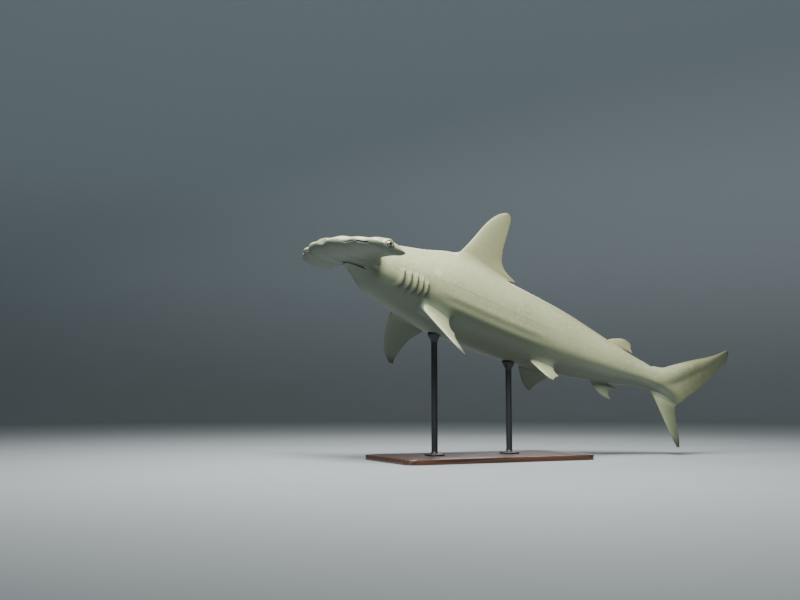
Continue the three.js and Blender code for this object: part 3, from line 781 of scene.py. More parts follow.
def grow_wing(skin, side):
    """Grows one side of the hammer out of the head's flank, from the neck to the eye."""
    rows = WING_ROOT_ROWS
    middle_row = 0 if side > 0 else SIDES // 2
    patch = skin.open_patch(0, HEAD_RINGS, middle_row - rows, middle_row + rows)
    line = [vertex for vertex, _, _ in patch]
    for vertex in line:
        skin.mark(vertex, root=WING_ROOT)
    starts = []
    for vertex, share, across in patch:
        angle = 2 * math.pi * (middle_row + across * rows) / SIDES
        _, _, start_side, start_height = head_point(share, angle)
        starts.append((share, across * side, abs(start_side), start_height))
    rounding = TIP_ROUNDING * 1.25
    shares = [(1 - rounding) * (k + 1) / WING_STEPS for k in range(WING_STEPS)]
    shares += [1 - rounding + rounding * math.sin(math.radians(a)) for a in WING_TIP_ANGLES]
    for share_out in shares:
        points = []
        for share, across, start_side, start_height in starts:
            chord = 1 - math.cos(share * math.pi / 2)
            reach = mix(start_side, HAMMER_HALF, share_out)
            width_share = reach / HAMMER_HALF
            rear = min(hammer_rear(width_share), WING_ROOT_REAR)
            along = mix(hammer_front(width_share), rear, chord)
            level = across if share >= 1 else math.copysign(1, across)
            height = hammer_off(width_share, chord) * level if share > 0 else 0
            height = mix(start_height, height, ease(share_out, 0, 0.2))
            on_hammer = place_on_hammer(along, side * reach, height)
            on_body = place(along + HAMMER_PIVOT - HAMMER_BEHIND, side * reach, height)
            held = max(1 - ease(chord, 0.45, 1), ease(share_out, 0, 0.3))
            points.append(on_body.lerp(on_hammer, held))
        line = skin.extend(line, points)
        for vertex, (share, across, _, _) in zip(line, starts):
            # The hammer's underside takes belly paint, darkened with painted shade.
            under = 1 if across < 0 else 0
            if share <= 0 or share >= 1:
                under = 0.5 - 0.5 * across
            root = WING_ROOT if share_out == shares[0] else 0
            skin.mark(vertex, belly=under, along=6 - 4 * share_out, fin=0, snout=1, root=root)


def raw_skin():
    """The whole skin as one closed coarse mesh."""
    skin = Skin()
    add_head_rings(skin)
    station = WING_ROOT_REAR + HAMMER_PIVOT - HAMMER_BEHIND + RING_STEP
    while station < GILLS[0][0] + GILL_PROFILE[0][0] - 0.3:
        add_body_ring(skin, station)
        station += RING_STEP
    for gill in GILLS:
        add_gill_rings(skin, gill)
    station = GILLS[-1][0] + GILL_PROFILE[-1][0] + 0.5
    while station < TAIL_START - 0.2:
        add_body_ring(skin, station)
        station += RING_STEP
    add_body_ring(skin, TAIL_START)
    tail_ring = len(skin.rings) - 1
    add_tail_rings(skin)
    grow_median_fin(skin, FIRST_DORSAL, FIRST_DORSAL_GROWTH, TOP, -1)
    grow_median_fin(skin, SECOND_DORSAL, SECOND_DORSAL_GROWTH, TOP, -1)
    grow_median_fin(skin, ANAL, ANAL_GROWTH, BOTTOM, 1)
    half = FIN_ROOT_FACES // 2
    fork = tail_ring + FORK_ROW * TAIL_STEPS
    lower_lobe = skin.open_patch(tail_ring + 1, fork, BOTTOM - half, BOTTOM + half)
    grow_fin(skin, lower_lobe, CAUDAL_LOWER, CAUDAL_LOWER_GROWTH, median_point, 1)
    for fin in (PECTORAL_LEFT, PECTORAL_RIGHT):
        grow_paired_fin(skin, PECTORAL, PECTORAL_GROWTH, fin)
    for fin in (PELVIC_LEFT, PELVIC_RIGHT):
        grow_paired_fin(skin, PELVIC, PELVIC_GROWTH, fin)
    for side in (-1, 1):
        grow_wing(skin, side)
    bmesh.ops.remove_doubles(skin.bm, verts=skin.bm.verts, dist=2e-5)
    skin.settle(FIN_ROOT, (2, 3, 3))
    skin.settle(WING_ROOT, (1, 2, 2))
    bmesh.ops.recalc_face_normals(skin.bm, faces=skin.bm.faces)
    return skin.bm


def new_object(name, bm):
    """A finished mesh as an object at the origin, smooth shaded."""
    mesh = bpy.data.meshes.new(name)
    bm.to_mesh(mesh)
    bm.free()
    mesh.shade_smooth()
    piece = bpy.data.objects.new(name, mesh)
    bpy.context.scene.collection.objects.link(piece)
    return piece


def subdivided(bm, levels):
    """The smooth surface that a coarse mesh stands for, as a new bmesh."""
    coarse = new_object("coarse", bm)
    surface = coarse.modifiers.new("smooth", "SUBSURF")
    surface.levels = levels
    surface.render_levels = levels
    evaluated = coarse.evaluated_get(bpy.context.evaluated_depsgraph_get())
    fine = bmesh.new()
    fine.from_mesh(evaluated.to_mesh())
    evaluated.to_mesh_clear()
    bpy.data.objects.remove(coarse)
    return fine


class Trail:
    """A path of close points, with the distance of any point to it."""

    def __init__(self, points):
        self.points = points
        self.tree = KDTree(len(points))
        for index, point in enumerate(points):
            self.tree.insert(point, index)
        self.tree.balance()
        self.middle = sum(points, Vector()) / len(points)
        self.radius = max((point - self.middle).length for point in points)

    def find(self, point, reach):
        """The nearest point of the path, the share of the path gone there and its distance, or None."""
        if (point - self.middle).length > self.radius + reach:
            return None
        nearest, index, distance = self.tree.find(point)
        return (nearest, index / max(1, len(self.points) - 1), distance) if distance < reach else None


def refine(bm, trail, reaches, finest=0.0012):
    """Splits the long edges near a path, once for each reach, and rounds off the flats left by it."""
    for reach in reaches:
        close = {vertex for vertex in bm.verts if trail.find(vertex.co, reach)}
        edges = [edge for edge in bm.edges if edge.verts[0] in close and edge.verts[1] in close]
        edges = [edge for edge in edges if edge.calc_length() > 1.5 * finest]
        bmesh.ops.subdivide_edges(bm, edges=edges, cuts=1, use_grid_fill=True)
    around = [vertex for vertex in bm.verts if trail.find(vertex.co, reaches[-1])]
    relax(bm, around, 10)


def engrave(bm, trail, reach, profile, back=None):
    """Moves the surface along its normals by a profile of (distance, share of the path gone, whether
    the point lies back of the path), and marks how deep it lies in shade."""
    shade = bm.verts.layers.float["cavity"]
    bm.normal_update()
    moves = []
    for vertex in bm.verts:
        found = trail.find(vertex.co, reach)
        if found:
            nearest, gone, distance = found
            behind = back is not None and (vertex.co - nearest).dot(back) > 0
            height, dark = profile(distance, gone, behind)
            moves.append((vertex, vertex.normal * height, dark))
    for vertex, move, dark in moves:
        vertex.co += move
        vertex[shade] = max(vertex[shade], dark)


def close_points(points, spacing=0.0006):
    """More points along a line of points, at an even small spacing."""
    line = []
    for a, b in zip(points, points[1:]):
        count = max(1, round((b - a).length / spacing))
        line += [a.lerp(b, i / count) for i in range(count)]
    return line + [points[-1]]


def mouth_profile(distance, gone, behind):
    """The closed mouth: a deep line between two soft lips, the lower one fuller."""
    inside = ease(min(gone, 1 - gone), 0, 0.1)
    lip = (LOWER_LIP if behind else UPPER_LIP) * bell(distance - 0.0062, 0.0036) * (0.3 + 0.7 * inside)
    height = lip - MOUTH_DEPTH * bell(distance, 0.0023) * inside
    # The second value is painted shade along the mouth line.
    return height, inside * bell(distance, 0.0027)


def cut_mouth(bm):
    surface = BVHTree.FromBMesh(bm)
    points = []
    for i in range(61):
        across = i / 30 - 1
        station = MOUTH["front"] + MOUTH["depth"] * abs(across) ** MOUTH["power"]
        below = place(station, across * MOUTH["half"], -12)
        points.append(surface.ray_cast(below, Vector((0, 0, 1)))[0])
    trail = Trail(close_points(points))
    refine(bm, trail, (0.024, 0.015, 0.0105))
    back = place(MOUTH["front"] + 1, 0, 0) - place(MOUTH["front"], 0, 0)
    engrave(bm, trail, 0.02, mouth_profile, back)


def nostril_profile(distance, gone, _):
    """A slit with a raised rim, half closed by a small flap in its middle."""
    inside = ease(min(gone, 1 - gone), 0, 0.12)
    flap = 1 - 0.75 * bell(gone - 0.42, 0.1)
    rim = NOSTRIL_RIM * bell(distance - 0.0052, 0.0024) * inside
    height = rim - NOSTRIL_DEPTH * bell(distance, 0.0027) * inside * flap
    # The second value is painted shade in the slit.
    return height, inside * flap * bell(distance, 0.0023)


def groove_profile(distance, gone, _):
    """The shallow groove that leads from the nostril along the hammer's front edge."""
    inside = ease(min(gone, 1 - gone), 0, 0.2)
    # The second value is faint painted shade in the groove.
    return -GROOVE_DEPTH * bell(distance, 0.0034) * inside, 0.25 * inside * bell(distance, 0.003)


def along_front(bm, side, start, end, behind, drop):
    """A path on the skin under the hammer's front edge, between two shares of its half-width."""
    surface = BVHTree.FromBMesh(bm)
    points = []
    for i in range(31):
        share = mix(start, end, i / 30)
        guess = place_on_hammer(hammer_front(share) + behind, side * share * HAMMER_HALF, -drop)
        points.append(surface.find_nearest(guess)[0])
    return Trail(close_points(points))


def cut_nostril(bm, side):
    groove = along_front(bm, side, NOSTRIL["from"] - 0.26, NOSTRIL["from"] - 0.02, 0.1, 0.28)
    refine(bm, groove, (0.012, 0.008))
    engrave(bm, groove, 0.012, groove_profile)
    slit = along_front(bm, side, NOSTRIL["from"], NOSTRIL["to"], 0.12, 0.3)
    refine(bm, slit, (0.02, 0.013, 0.009))
    engrave(bm, slit, 0.016, nostril_profile)


def eye_centre(side):
    return place_on_hammer(EYE["behind"], side * EYE["reach"], EYE["level"])


def eye_axis(side):
    return (place_on_hammer(0, side, 0) - place_on_hammer(0, 0, 0)).normalized()


def shape_socket(bm, side):
    """Draws the skin round the eyeball: a socket behind it and a rolled lid that holds its rim."""
    centre = eye_centre(side)
    axis = eye_axis(side)
    refine(bm, Trail([centre]), (SOCKET_REACH, 0.029, 0.023))
    shade = bm.verts.layers.float["cavity"]
    radius = EYE["radius"] * PERCENT
    lid_edge = 0.86 * radius
    lid_top = 1.16 * radius
    proud = 0.56 * radius
    for vertex in bm.verts:
        offset = vertex.co - centre
        if offset.length > SOCKET_REACH:
            continue
        out = offset.dot(axis)
        ring = (offset - axis * out).length
        if ring < lid_edge:
            level = mix(-0.6 * radius, proud * 0.92, ease(ring, 0.72 * radius, lid_edge))
        elif ring < lid_top:
            level = proud * (0.92 + 0.12 * math.sin(math.pi * (ring - lid_edge) / (lid_top - lid_edge)))
        else:
            level = mix(proud * 0.92, out, ease(ring, lid_top, 0.03))
        vertex.co += axis * (level - out)
        # Painted shade in the crease where the lid meets the eyeball.
        vertex[shade] = max(vertex[shade], bell(ring - 0.84 * radius, 0.0016))


def fold_flanks(bm):
    """Raises two faint folds along each flank, from the gills to the pelvic fins."""
    layers = [bm.verts.layers.float[name] for name in ("along", "girth", "fin")]
    bm.normal_update()
    moves = []
    between = sum(FOLDS["at"]) / 2
    for vertex in bm.verts:
        along, girth, fin = [vertex[layer] for layer in layers]
        share = ease(along, FOLDS["from"], FOLDS["from"] + 5)
        share *= 1 - ease(along, FOLDS["to"] - 8, FOLDS["to"])
        if share * (1 - fin) <= 0:
            continue
        degrees = math.degrees(girth)
        height = sum(bell(degrees - at, 4.5) for at in FOLDS["at"]) - 0.7 * bell(degrees - between, 4)
        moves.append((vertex, vertex.normal * height * share * (1 - ease(fin, 0, 0.2)) * FOLDS["height"]))
    for vertex, move in moves:
        vertex.co += move


def make_skin():
    bm = subdivided(raw_skin(), 1)
    fold_flanks(bm)
    cut_mouth(bm)
    for side in (-1, 1):
        cut_nostril(bm, side)
        shape_socket(bm, side)
    bmesh.ops.transform(bm, matrix=POSE, verts=bm.verts)
    bmesh.ops.recalc_face_normals(bm, faces=bm.faces)
    return new_object("shark_skin", bm)


def make_eye(name, side):
    """An eyeball with a bulging cornea. Its finish follows the distance from the middle of the pupil,
    in radii, and the turn round it."""
    bm = bmesh.new()
    radius = EYE["radius"] * PERCENT
    bmesh.ops.create_uvsphere(bm, u_segments=64, v_segments=40, radius=radius)
    iris = bm.verts.layers.float.new("iris")
    turn = bm.verts.layers.float.new("turn")
    for vertex in bm.verts:
        away = math.acos(max(-1, min(1, vertex.co.z / radius)))
        vertex[iris] = math.hypot(vertex.co.x, 0.78 * vertex.co.y) / radius if vertex.co.z > 0 else 1.2
        vertex[turn] = abs(math.atan2(vertex.co.y, vertex.co.x))
        vertex.co *= 1 + 0.07 * bell(away, 0.6)
    axis = eye_axis(side)
    upright = Vector((0, 0, 1))
    across = upright.cross(axis).normalized()
    facing = Matrix((across, axis.cross(across), axis)).transposed().to_4x4()
    bmesh.ops.transform(bm, matrix=POSE @ Matrix.Translation(eye_centre(side)) @ facing, verts=bm.verts)
    return new_object(name, bm)


def turned(points, centre, steps):
    """A profile turned round an upright line."""
    bm = bmesh.new()
    line = [bm.verts.new(point) for point in points]
    edges = [bm.edges.new(pair) for pair in zip(line, line[1:])]
    bmesh.ops.spin(
        bm,
        geom=line + edges,
        cent=centre,
        axis=(0, 0, 1),
        angle=2 * math.pi,
        steps=steps,
        use_merge=True,
    )
    bmesh.ops.remove_doubles(bm, verts=bm.verts, dist=1e-5)
    bmesh.ops.recalc_face_normals(bm, faces=bm.faces)
    return bm


def rounded(bm, edges, offset, segments):
    """Rounds some edges of a mesh."""
    bmesh.ops.bevel(
        bm,
        geom=edges,
        offset=offset,
        offset_type="OFFSET",
        segments=segments,
        profile=0.5,
        affect="EDGES",
        material=-1,
    )


def make_base(box):
    """A board with rounded corners and a moulded edge: a cove between two fine beads."""
    low, high = box
    bm = bmesh.new()
    bmesh.ops.create_cube(bm, size=1)
    size = high - low
    bmesh.ops.scale(bm, vec=size, verts=bm.verts)
    bmesh.ops.translate(bm, vec=(low + high) / 2, verts=bm.verts)
    uprights = [edge for edge in bm.edges if abs(edge.verts[0].co.z - edge.verts[1].co.z) > size.z / 2]
    rounded(bm, uprights, BASE_CORNER, 18)
    top = max(bm.faces, key=lambda face: face.calc_center_median().z)
    for inward, down in BASE_MOULDING:
        bmesh.ops.inset_region(bm, faces=[top], thickness=inward, depth=0, use_even_offset=True)
        bmesh.ops.translate(bm, vec=(0, 0, down), verts=top.verts)
    bottom = min(bm.faces, key=lambda face: face.calc_center_median().z)
    rounded(bm, list(bottom.edges), BASE_LOWER_EDGE, 3)
    return bm


def make_rod(box, belly):
    """A turned rod with a flanged foot and a cup whose rim follows the belly."""
    low, high = box
    centre = (low + high) / 2
    points = []
    for out, up, measured_from_top in ROD_PROFILE:
        height = high.z + up if measured_from_top else low.z + up
        points.append((centre.x + out, centre.y, height))
    bm = turned(points, (centre.x, centre.y, 0), 72)
    for vertex in bm.verts:
        if vertex.co.z > high.z - CUP_HEIGHT:
            hit = belly.ray_cast(Vector((vertex.co.x, vertex.co.y, low.z)), Vector((0, 0, 1)))[0]
            vertex.co.z = min(vertex.co.z, hit.z - REST_GAP)
    return bm


def make_screws(box):
    """Four countersunk screws with round sockets in the rod's foot."""
    low, high = box
    centre = (low + high) / 2
    bm = bmesh.new()
    for i in range(4):
        angle = math.pi / 4 + i * math.pi / 2
        out = Vector((math.cos(angle), math.sin(angle), 0)) * SCREW_CIRCLE
        at = Vector((centre.x, centre.y, low.z)) + out
        head = bmesh.ops.create_cone(
            bm,
            cap_ends=True,
            segments=36,
            radius1=SCREW_RADIUS * 0.7,
            radius2=SCREW_RADIUS,
            depth=0.003,
            matrix=Matrix.Translation(at + Vector((0, 0, FLANGE_TOP - 0.0012))),
        )["verts"]
        faces = {face for vertex in head for face in vertex.link_faces}
        crown = max(faces, key=lambda face: face.calc_center_median().z)
        bmesh.ops.inset_region(bm, faces=[crown], thickness=SCREW_RADIUS * 0.2, depth=0.0006)
        bmesh.ops.inset_region(bm, faces=[crown], thickness=SCREW_RADIUS * 0.25, depth=0)
        bmesh.ops.inset_region(bm, faces=[crown], thickness=0.0001, depth=-0.0022)
    return bm


def make_floor():
    """A round pale floor that curves up into a wall far outside the object."""
    points = [(0, 0, 0), (FLOOR_RADIUS, 0, 0)]
    for i in range(1, 17):
        angle = math.radians(90 * i / 16)
        points.append((FLOOR_RADIUS + COVE * math.sin(angle), 0, COVE * (1 - math.cos(angle))))
    points.append((FLOOR_RADIUS + COVE, 0, WALL_TOP))
    return turned(points, (0, 0, 0), 96)


def add_light(name, at, target, sides, power, spread):
    """A soft box that hangs at a place and aims at a target."""
    data = bpy.data.lights.new(name, "AREA")
    data.shape = "RECTANGLE"
    data.spread = math.radians(spread)
    data.size, data.size_y = sides
    data.energy = power
    light = bpy.data.objects.new(name, data)
    light.location = at
    light.rotation_euler = (Vector(target) - Vector(at)).to_track_quat("-Z", "Y").to_euler()
    bpy.context.scene.collection.objects.link(light)


def add_camera():
    """The camera that sees the animal as the photograph does."""
    data = bpy.data.cameras.new("camera")
    data.lens = LENS
    data.sensor_width = SENSOR
    camera = bpy.data.objects.new("camera", data)
    camera.rotation_euler = Vector(CAMERA_FORWARD).to_track_quat("-Z", "Y").to_euler()
    camera.location = CAMERA_AT
    bpy.context.scene.collection.objects.link(camera)
    bpy.context.scene.camera = camera


def add_piece(piece, slot, material, *nodes):
    """Puts a piece in the frame: it rides on the one body, and stands for the nodes it replaces."""
    piece.data.materials.append(material)
    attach(piece, "root")
    if nodes:
        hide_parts(*nodes)


def linear(code):
    """An sRGB colour of six hex digits, as the linear colour that shaders take."""
    channels = [int(code[i : i + 2], 16) / 255 for i in (0, 2, 4)]
    return (*[c / 12.92 if c <= 0.04045 else ((c + 0.055) / 1.055) ** 2.4 for c in channels], 1)


def add_node(tree, kind, inputs=None, **settings):
    """Adds a node with its settings, and with its inputs set to constants or linked to other outputs."""
    node = tree.nodes.new("ShaderNode" + kind)
    for name, value in settings.items():
        setattr(node, name, value)
    for name, value in (inputs or {}).items():
        if isinstance(value, bpy.types.NodeSocket):
            tree.links.new(value, node.inputs[name])
        else:
            node.inputs[name].default_value = value
    return node.outputs


def new_material(name):
    """A material with an empty node tree, and that tree."""
    material = bpy.data.materials.new(name)
    material.use_nodes = True
    material.node_tree.nodes.clear()
    return material, material.node_tree


def finished(material, tree, finish):
    """Ends a material's tree with its surface and returns the material."""
    surface = add_node(tree, "BsdfPrincipled", finish)["BSDF"]
    add_node(tree, "OutputMaterial", {"Surface": surface})
    return material


def skin_material():
    """Cast resin, airbrushed and satin lacquered: an olive-grey back, a darker grey-green lower flank that
    is painted shade, and a paler belly darkened with painted shade, with a soft sheen broken by a fine
    grain."""
    material, tree = new_material("airbrushed satin resin skin")
    on_skin = add_node(tree, "TexCoord")["Object"]
    belly, tip, cavity, snout, fin, along, girth = [
        add_node(tree, "Attribute", attribute_name=name)["Fac"]
        for name in ("belly", "tip", "cavity", "snout", "fin", "along", "girth")
    ]
    # Clouds 150 mm across, mottles of 20 mm, dimples of 12 mm and squiggles of 8 mm. Skin teeth of
    # 0.3 mm are drawn as a grain of 1.5 mm.
    noises = []
    for scale, detail, roughness, distortion in (
        (6.5, 3, 0.55, 0),
        (50, 4, 0.6, 0),
        (85, 2, 0.5, 0),
        (650, 2, 0.5, 0),
        (120, 1, 0.5, 1),
    ):
        spots = {"Vector": on_skin, "Scale": scale, "Detail": detail}
        spots |= {"Roughness": roughness, "Distortion": distortion}
        noises.append(add_node(tree, "TexNoise", spots)["Fac"])
    clouds, mottles, dimples, grain, squiggles = noises
    # Old scratches 3 mm apart, drawn out to 55 mm.
    drawn_out = {"Vector": on_skin, "Rotation": (0.4, 0.25, 0.3), "Scale": (6, 110, 110)}
    drawn_out = add_node(tree, "Mapping", drawn_out)["Vector"]
    scratches = {"Vector": drawn_out, "Scale": 3, "Detail": 1, "Distortion": 1.5}
    scratches = add_node(tree, "TexNoise", scratches)["Fac"]
    # The sense organs' pores are 1 mm wide in life and are drawn 2 mm wide, 6 mm apart.
    pores = {"Vector": on_skin, "Scale": 170, "Randomness": 0.8}
    pores = add_node(tree, "TexVoronoi", pores)["Distance"]
    from_graze = add_node(tree, "VectorMath", {0: on_skin, 1: GRAZE["at"]}, operation="DISTANCE")["Value"]
    squiggles, lateral_line = [
        add_node(tree, "Math", {0: value, 1: level, 2: width}, operation="COMPARE")["Value"]
        for value, level, width in ((squiggles, 0.5, 0.035), (girth, LATERAL_LINE, 0.012))
    ]
    # Upright wrinkles 9 mm apart lie over the muscle segments. The fins' horny rays, 1 mm apart in
    # life, are drawn 7 mm apart. Both follow the body in percent of its length.
    on_body = add_node(tree, "CombineXYZ", {"X": along, "Y": girth})["Vector"]
    waves = []
    for scale, distortion, detail, detail_scale in ((0.9, 9, 3, 2.2), (1.15, 1.2, 1, 1)):
        bands = {"Vector": on_body, "Scale": scale, "Distortion": distortion}
        bands |= {"Detail": detail, "Detail Scale": detail_scale}
        waves.append(add_node(tree, "TexWave", bands, bands_direction="X")["Fac"])
    wrinkles, rays = waves
    fading = {"Value": along, "From Min": 21, "From Max": 40, "To Min": 1, "To Max": 0.25}
    near_gills = add_node(tree, "MapRange", fading)["Result"]
    # The belly's and the fin tips' paint set in along a cloudy line.
    uneven = add_node(tree, "Math", {0: mottles, 1: 0.14, 2: -0.07}, operation="MULTIPLY_ADD")["Value"]
    cloudy = add_node(tree, "Math", {0: clouds, 1: 0.3, 2: -0.15}, operation="MULTIPLY_ADD")["Value"]
    line = add_node(tree, "Math", {0: belly, 1: uneven}, operation="ADD")["Value"]
    line = add_node(tree, "Math", {0: line, 1: cloudy}, operation="ADD")["Value"]
    dusk = add_node(tree, "Math", {0: tip, 1: uneven}, operation="ADD")["Value"]
    masks = {}
    for name, value, start, end in (
        ("cloud", clouds, 0.3, 0.7),
        ("mottle", mottles, 0.45, 0.8),
        ("ridge", girth, 0.85, 0.15),
        ("flank", line, -0.1, 0.5),
        ("belly", line, 0.5, 1.05),
        ("dusk", dusk, 0.12, 0.9),
        ("pore", pores, 0.2, 0.13),
        ("near graze", from_graze, GRAZE["radius"], 0.4 * GRAZE["radius"]),
        ("scratch", scratches, 0.73, 0.77),
        ("behind neck", along, 15, 20),
        ("before tail", along, 36, 26),
        ("off fins", fin, 0.1, 0),
        ("behind mouth", along, 13, 16),
        ("cavity", cavity, 0.25, 1),
        ("patchy", clouds, 0.35, 0.65),
        ("on fins", fin, 0.35, 0.8),
    ):
        settings = {"Value": value, "From Min": start, "From Max": end}
        masks[name] = add_node(tree, "MapRange", settings, interpolation_type="SMOOTHSTEP")["Result"]
    on_flank = (masks["off fins"], masks["behind mouth"])
    products = {}
    for name, factors in (
        ("ridge", (masks["ridge"], 0.7)),
        ("pores", (masks["pore"], belly, snout, 0.55)),
        ("grazes", (squiggles, masks["near graze"], 0.4)),
        ("scratches", (masks["scratch"], masks["behind neck"], masks["before tail"], 0.35)),
        ("line", (lateral_line, *on_flank, 0.22)),
        ("wrinkles", (wrinkles, near_gills, masks["patchy"], *on_flank)),
        ("rays", (rays, masks["on fins"])),
    ):
        product = factors[0]
        for factor in factors[1:]:
            product = add_node(tree, "Math", {0: product, 1: factor}, operation="MULTIPLY")["Value"]
        products[name] = product
    colour = linear("858967")
    for mask, paint in (
        (masks["cloud"], "949874"),
        (masks["mottle"], "9EA17D"),
        (products["ridge"], "7B7A5B"),
        # The lower flank's darker grey-green is painted shade.
        (masks["flank"], "5B6450"),
        # The belly's pale tone, darkened with painted shade.
        (masks["belly"], "676F61"),
        (masks["dusk"], "45463B"),
        (products["pores"], "4A4A40"),
        (products["grazes"], "DAD8C4"),
        (products["scratches"], "D9D6BF"),
        (products["line"], "55564A"),
        # Painted shade in the mouth line, nostrils, groove, gill slits and the lid's crease.
        (masks["cavity"], "37302A"),
    ):
        coats = {FACTOR: mask, FIRST: colour, SECOND: linear(paint)}
        colour = add_node(tree, "Mix", coats, data_type="RGBA")[COLOUR]
    relief = {}
    for height, strength, depth in (
        (products["wrinkles"], 0.22, 0.0012),
        (products["rays"], 0.1, 0.0008),
        (dimples, 0.12, 0.004),
        (grain, 0.18, 0.0006),
    ):
        bump = {"Height": height, "Strength": strength, "Distance": depth, **relief}
        relief = {"Normal": add_node(tree, "Bump", bump)["Normal"]}
    gloss = add_node(tree, "Math", {0: mottles, 1: 0.16, 2: 0.36}, operation="MULTIPLY_ADD")["Value"]
    finish = {"Base Color": colour, "Roughness": gloss, "IOR": 1.5, "Specular IOR Level": 0.42}
    return finished(material, tree, {**finish, **relief})


def eye_material():
    """A cast resin eye under clear gloss: an upright black pupil in a dull gold iris with a dark rim."""
    material, tree = new_material("clear glossed resin eye")
    iris, turn = [add_node(tree, "Attribute", attribute_name=name)["Fac"] for name in ("iris", "turn")]
    in_eye = add_node(tree, "TexCoord")["Object"]
    # The iris's fibres are streaks that run out from the pupil; the white's clouds are 2.5 mm across.
    fibres = add_node(tree, "CombineXYZ", {"X": turn, "Y": iris})["Vector"]
    fibres = add_node(tree, "Mapping", {"Vector": fibres, "Scale": (14, 1.5, 1)})["Vector"]
    streaks = add_node(tree, "TexNoise", {"Vector": fibres, "Scale": 1.4, "Detail": 4})["Fac"]
    clouds = add_node(tree, "TexNoise", {"Vector": in_eye, "Scale": 400, "Detail": 2})["Fac"]
    masks = {}
    for name, value, start, end in (
        ("streak", streaks, 0.3, 0.7),
        ("vein", clouds, 0.3, 0.8),
        ("pupil", iris, 0.35, 0.31),
        ("rim", iris, 0.55, 0.68),
        ("white", iris, 0.74, 0.8),
    ):
        settings = {"Value": value, "From Min": start, "From Max": end}
        masks[name] = add_node(tree, "MapRange", settings, interpolation_type="SMOOTHSTEP")["Result"]
    mixed = []
    for mask, first, second in (("streak", "5C5238", "938763"), ("vein", "B9B3A2", "9B8F7C")):
        coats = {FACTOR: masks[mask], FIRST: linear(first), SECOND: linear(second)}
        mixed.append(add_node(tree, "Mix", coats, data_type="RGBA")[COLOUR])
    colour, white = mixed
    for mask, paint in (("pupil", linear("050505")), ("rim", linear("1D1912")), ("white", white)):
        coats = {FACTOR: masks[mask], FIRST: colour, SECOND: paint}
        colour = add_node(tree, "Mix", coats, data_type="RGBA")[COLOUR]
    finish = {"Base Color": colour, "Roughness": 0.16, "IOR": 1.5}
    return finished(material, tree, {**finish, "Coat Weight": 1, "Coat Roughness": 0.02})


def wood_material():
    """Hardwood, stained dark and satin lacquered: soft bands along the board under a low sheen."""
    material, tree = new_material("dark satin lacquered hardwood")
    on_board = add_node(tree, "TexCoord")["Object"]
    # Growth bands 14 mm apart, drawn out along the board and gently swaying.
    drawn_out = add_node(tree, "Mapping", {"Vector": on_board, "Scale": (0.6, 14, 14)})["Vector"]
    sway = add_node(tree, "TexNoise", {"Vector": drawn_out, "Scale": 1, "Detail": 2})["Fac"]
    bent = add_node(tree, "VectorMath", {0: drawn_out, 1: sway}, operation="ADD")["Vector"]
    growth = {"Vector": bent, "Scale": 1.6, "Distortion": 5, "Detail": 3, "Detail Scale": 1.2}
    bands = add_node(tree, "TexWave", growth, bands_direction="Y")["Fac"]
    # Pores of 0.3 by 8 mm are drawn at about 0.8 by 20 mm.
    fine = add_node(tree, "Mapping", {"Vector": on_board, "Scale": (50, 1200, 1200)})["Vector"]
    pores = add_node(tree, "TexNoise", {"Vector": fine, "Scale": 1, "Detail": 2})["Fac"]
    colour = linear("2C1A12")
    for value, start, end, stain in ((bands, 0, 1, "4A2E1E"), (pores, 0.56, 0.7, "180D08")):
        settings = {"Value": value, "From Min": start, "From Max": end}
        mask = add_node(tree, "MapRange", settings, interpolation_type="SMOOTHSTEP")["Result"]
        coats = {FACTOR: mask, FIRST: colour, SECOND: linear(stain)}
        colour = add_node(tree, "Mix", coats, data_type="RGBA")[COLOUR]
    relief = add_node(tree, "Bump", {"Strength": 0.2, "Distance": -0.0003, "Height": mask})["Normal"]
    finish = {"Base Color": colour, "Roughness": 0.34, "IOR": 1.5, "Normal": relief}
    return finished(material, tree, {**finish, "Coat Weight": 0.35, "Coat Roughness": 0.22})


def powder_coat_material():
    """Steel under fine black powder coat: a dull even sheen with a faint orange-peel grain, which is
    0.4 mm in life and drawn at 1 mm."""
    material, tree = new_material("black powder coated steel")
    on_rod = add_node(tree, "TexCoord")["Object"]
    noises = [{"Vector": on_rod, "Scale": scale, "Detail": 2} for scale in (900, 30)]
    grain, shades = [add_node(tree, "TexNoise", noise)["Fac"] for noise in noises]
    relief = add_node(tree, "Bump", {"Strength": 0.3, "Distance": 0.0004, "Height": grain})["Normal"]
    gloss = add_node(tree, "Math", {0: shades, 1: 0.12, 2: 0.36}, operation="MULTIPLY_ADD")["Value"]
    finish = {"Base Color": linear("1E2022"), "Roughness": gloss, "IOR": 1.5, "Normal": relief}
    return finished(material, tree, finish)


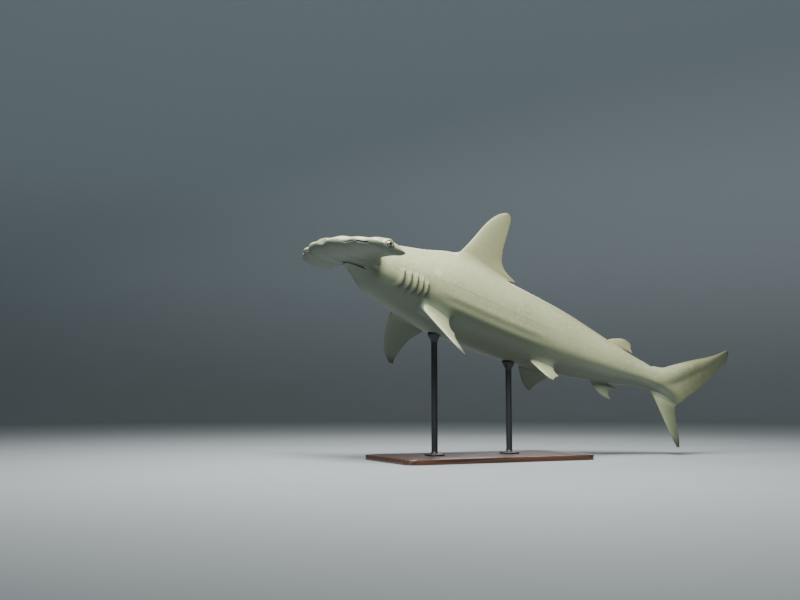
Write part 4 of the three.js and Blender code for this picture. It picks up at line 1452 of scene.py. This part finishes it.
def screw_material():
    """Blackened steel screws, whose shine is uneven over 4 mm where the oil has dried."""
    material, tree = new_material("oil blackened steel")
    on_screw = add_node(tree, "TexCoord")["Object"]
    shades = add_node(tree, "TexNoise", {"Vector": on_screw, "Scale": 250, "Detail": 3})["Fac"]
    gloss = add_node(tree, "Math", {0: shades, 1: 0.2, 2: 0.22}, operation="MULTIPLY_ADD")["Value"]
    finish = {"Base Color": linear("4A4B4C"), "Metallic": 1.0, "Roughness": gloss}
    return finished(material, tree, finish)


def floor_material():
    """Matt seamless paper, grey underfoot and paler up the wall, faintly cloudy over half a metre."""
    material, tree = new_material("matt seamless paper")
    on_floor = add_node(tree, "TexCoord")["Object"]
    shades = add_node(tree, "TexNoise", {"Vector": on_floor, "Scale": 2, "Detail": 2})["Fac"]
    height = add_node(tree, "SeparateXYZ", {"Vector": on_floor})["Z"]
    climb = {"Value": height, "From Min": 0, "From Max": 4}
    upwards = add_node(tree, "MapRange", climb, interpolation_type="SMOOTHSTEP")["Result"]
    colour = linear("74797A")
    for mask, paper in ((shades, "787E7F"), (upwards, "C3CCD1")):
        coats = {FACTOR: mask, FIRST: colour, SECOND: linear(paper)}
        colour = add_node(tree, "Mix", coats, data_type="RGBA")[COLOUR]
    return finished(material, tree, {"Base Color": colour, "Roughness": 0.85})


add_camera()
skin_piece = make_skin()
add_piece(skin_piece, "shark_skin", skin_material(), *FLESH)
resin_eye = eye_material()
for side, name in ((-1, "eye_left"), (1, "eye_right")):
    add_piece(make_eye(name + "_ball", side), "eye", resin_eye, name)
skin_surface = bmesh.new()
skin_surface.from_mesh(skin_piece.data)
belly = BVHTree.FromBMesh(skin_surface)
skin_surface.free()
base_board = new_object("base_board", make_base(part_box("stand_base")))
add_piece(base_board, "stand_wood", wood_material(), "stand_base")
powder_coat = powder_coat_material()
blackened = screw_material()
for end in ("front", "rear"):
    rod_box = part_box("stand_rod_" + end)
    rod = new_object("rod_" + end, make_rod(rod_box, belly))
    add_piece(rod, "stand_steel", powder_coat, "stand_rod_" + end)
    screws = new_object("screws_" + end, make_screws(rod_box))
    add_piece(screws, "stand_steel", blackened)

floor = new_object("floor", make_floor())
floor.data.materials.append(floor_material())

for light, settings in LIGHTS.items():
    add_light(light, *settings)
world = bpy.data.worlds.new("studio")
world.use_nodes = True
background = world.node_tree.nodes["Background"].inputs
background["Color"].default_value = linear("C9D3D8")
background["Strength"].default_value = SKY_STRENGTH
bpy.context.scene.world = world
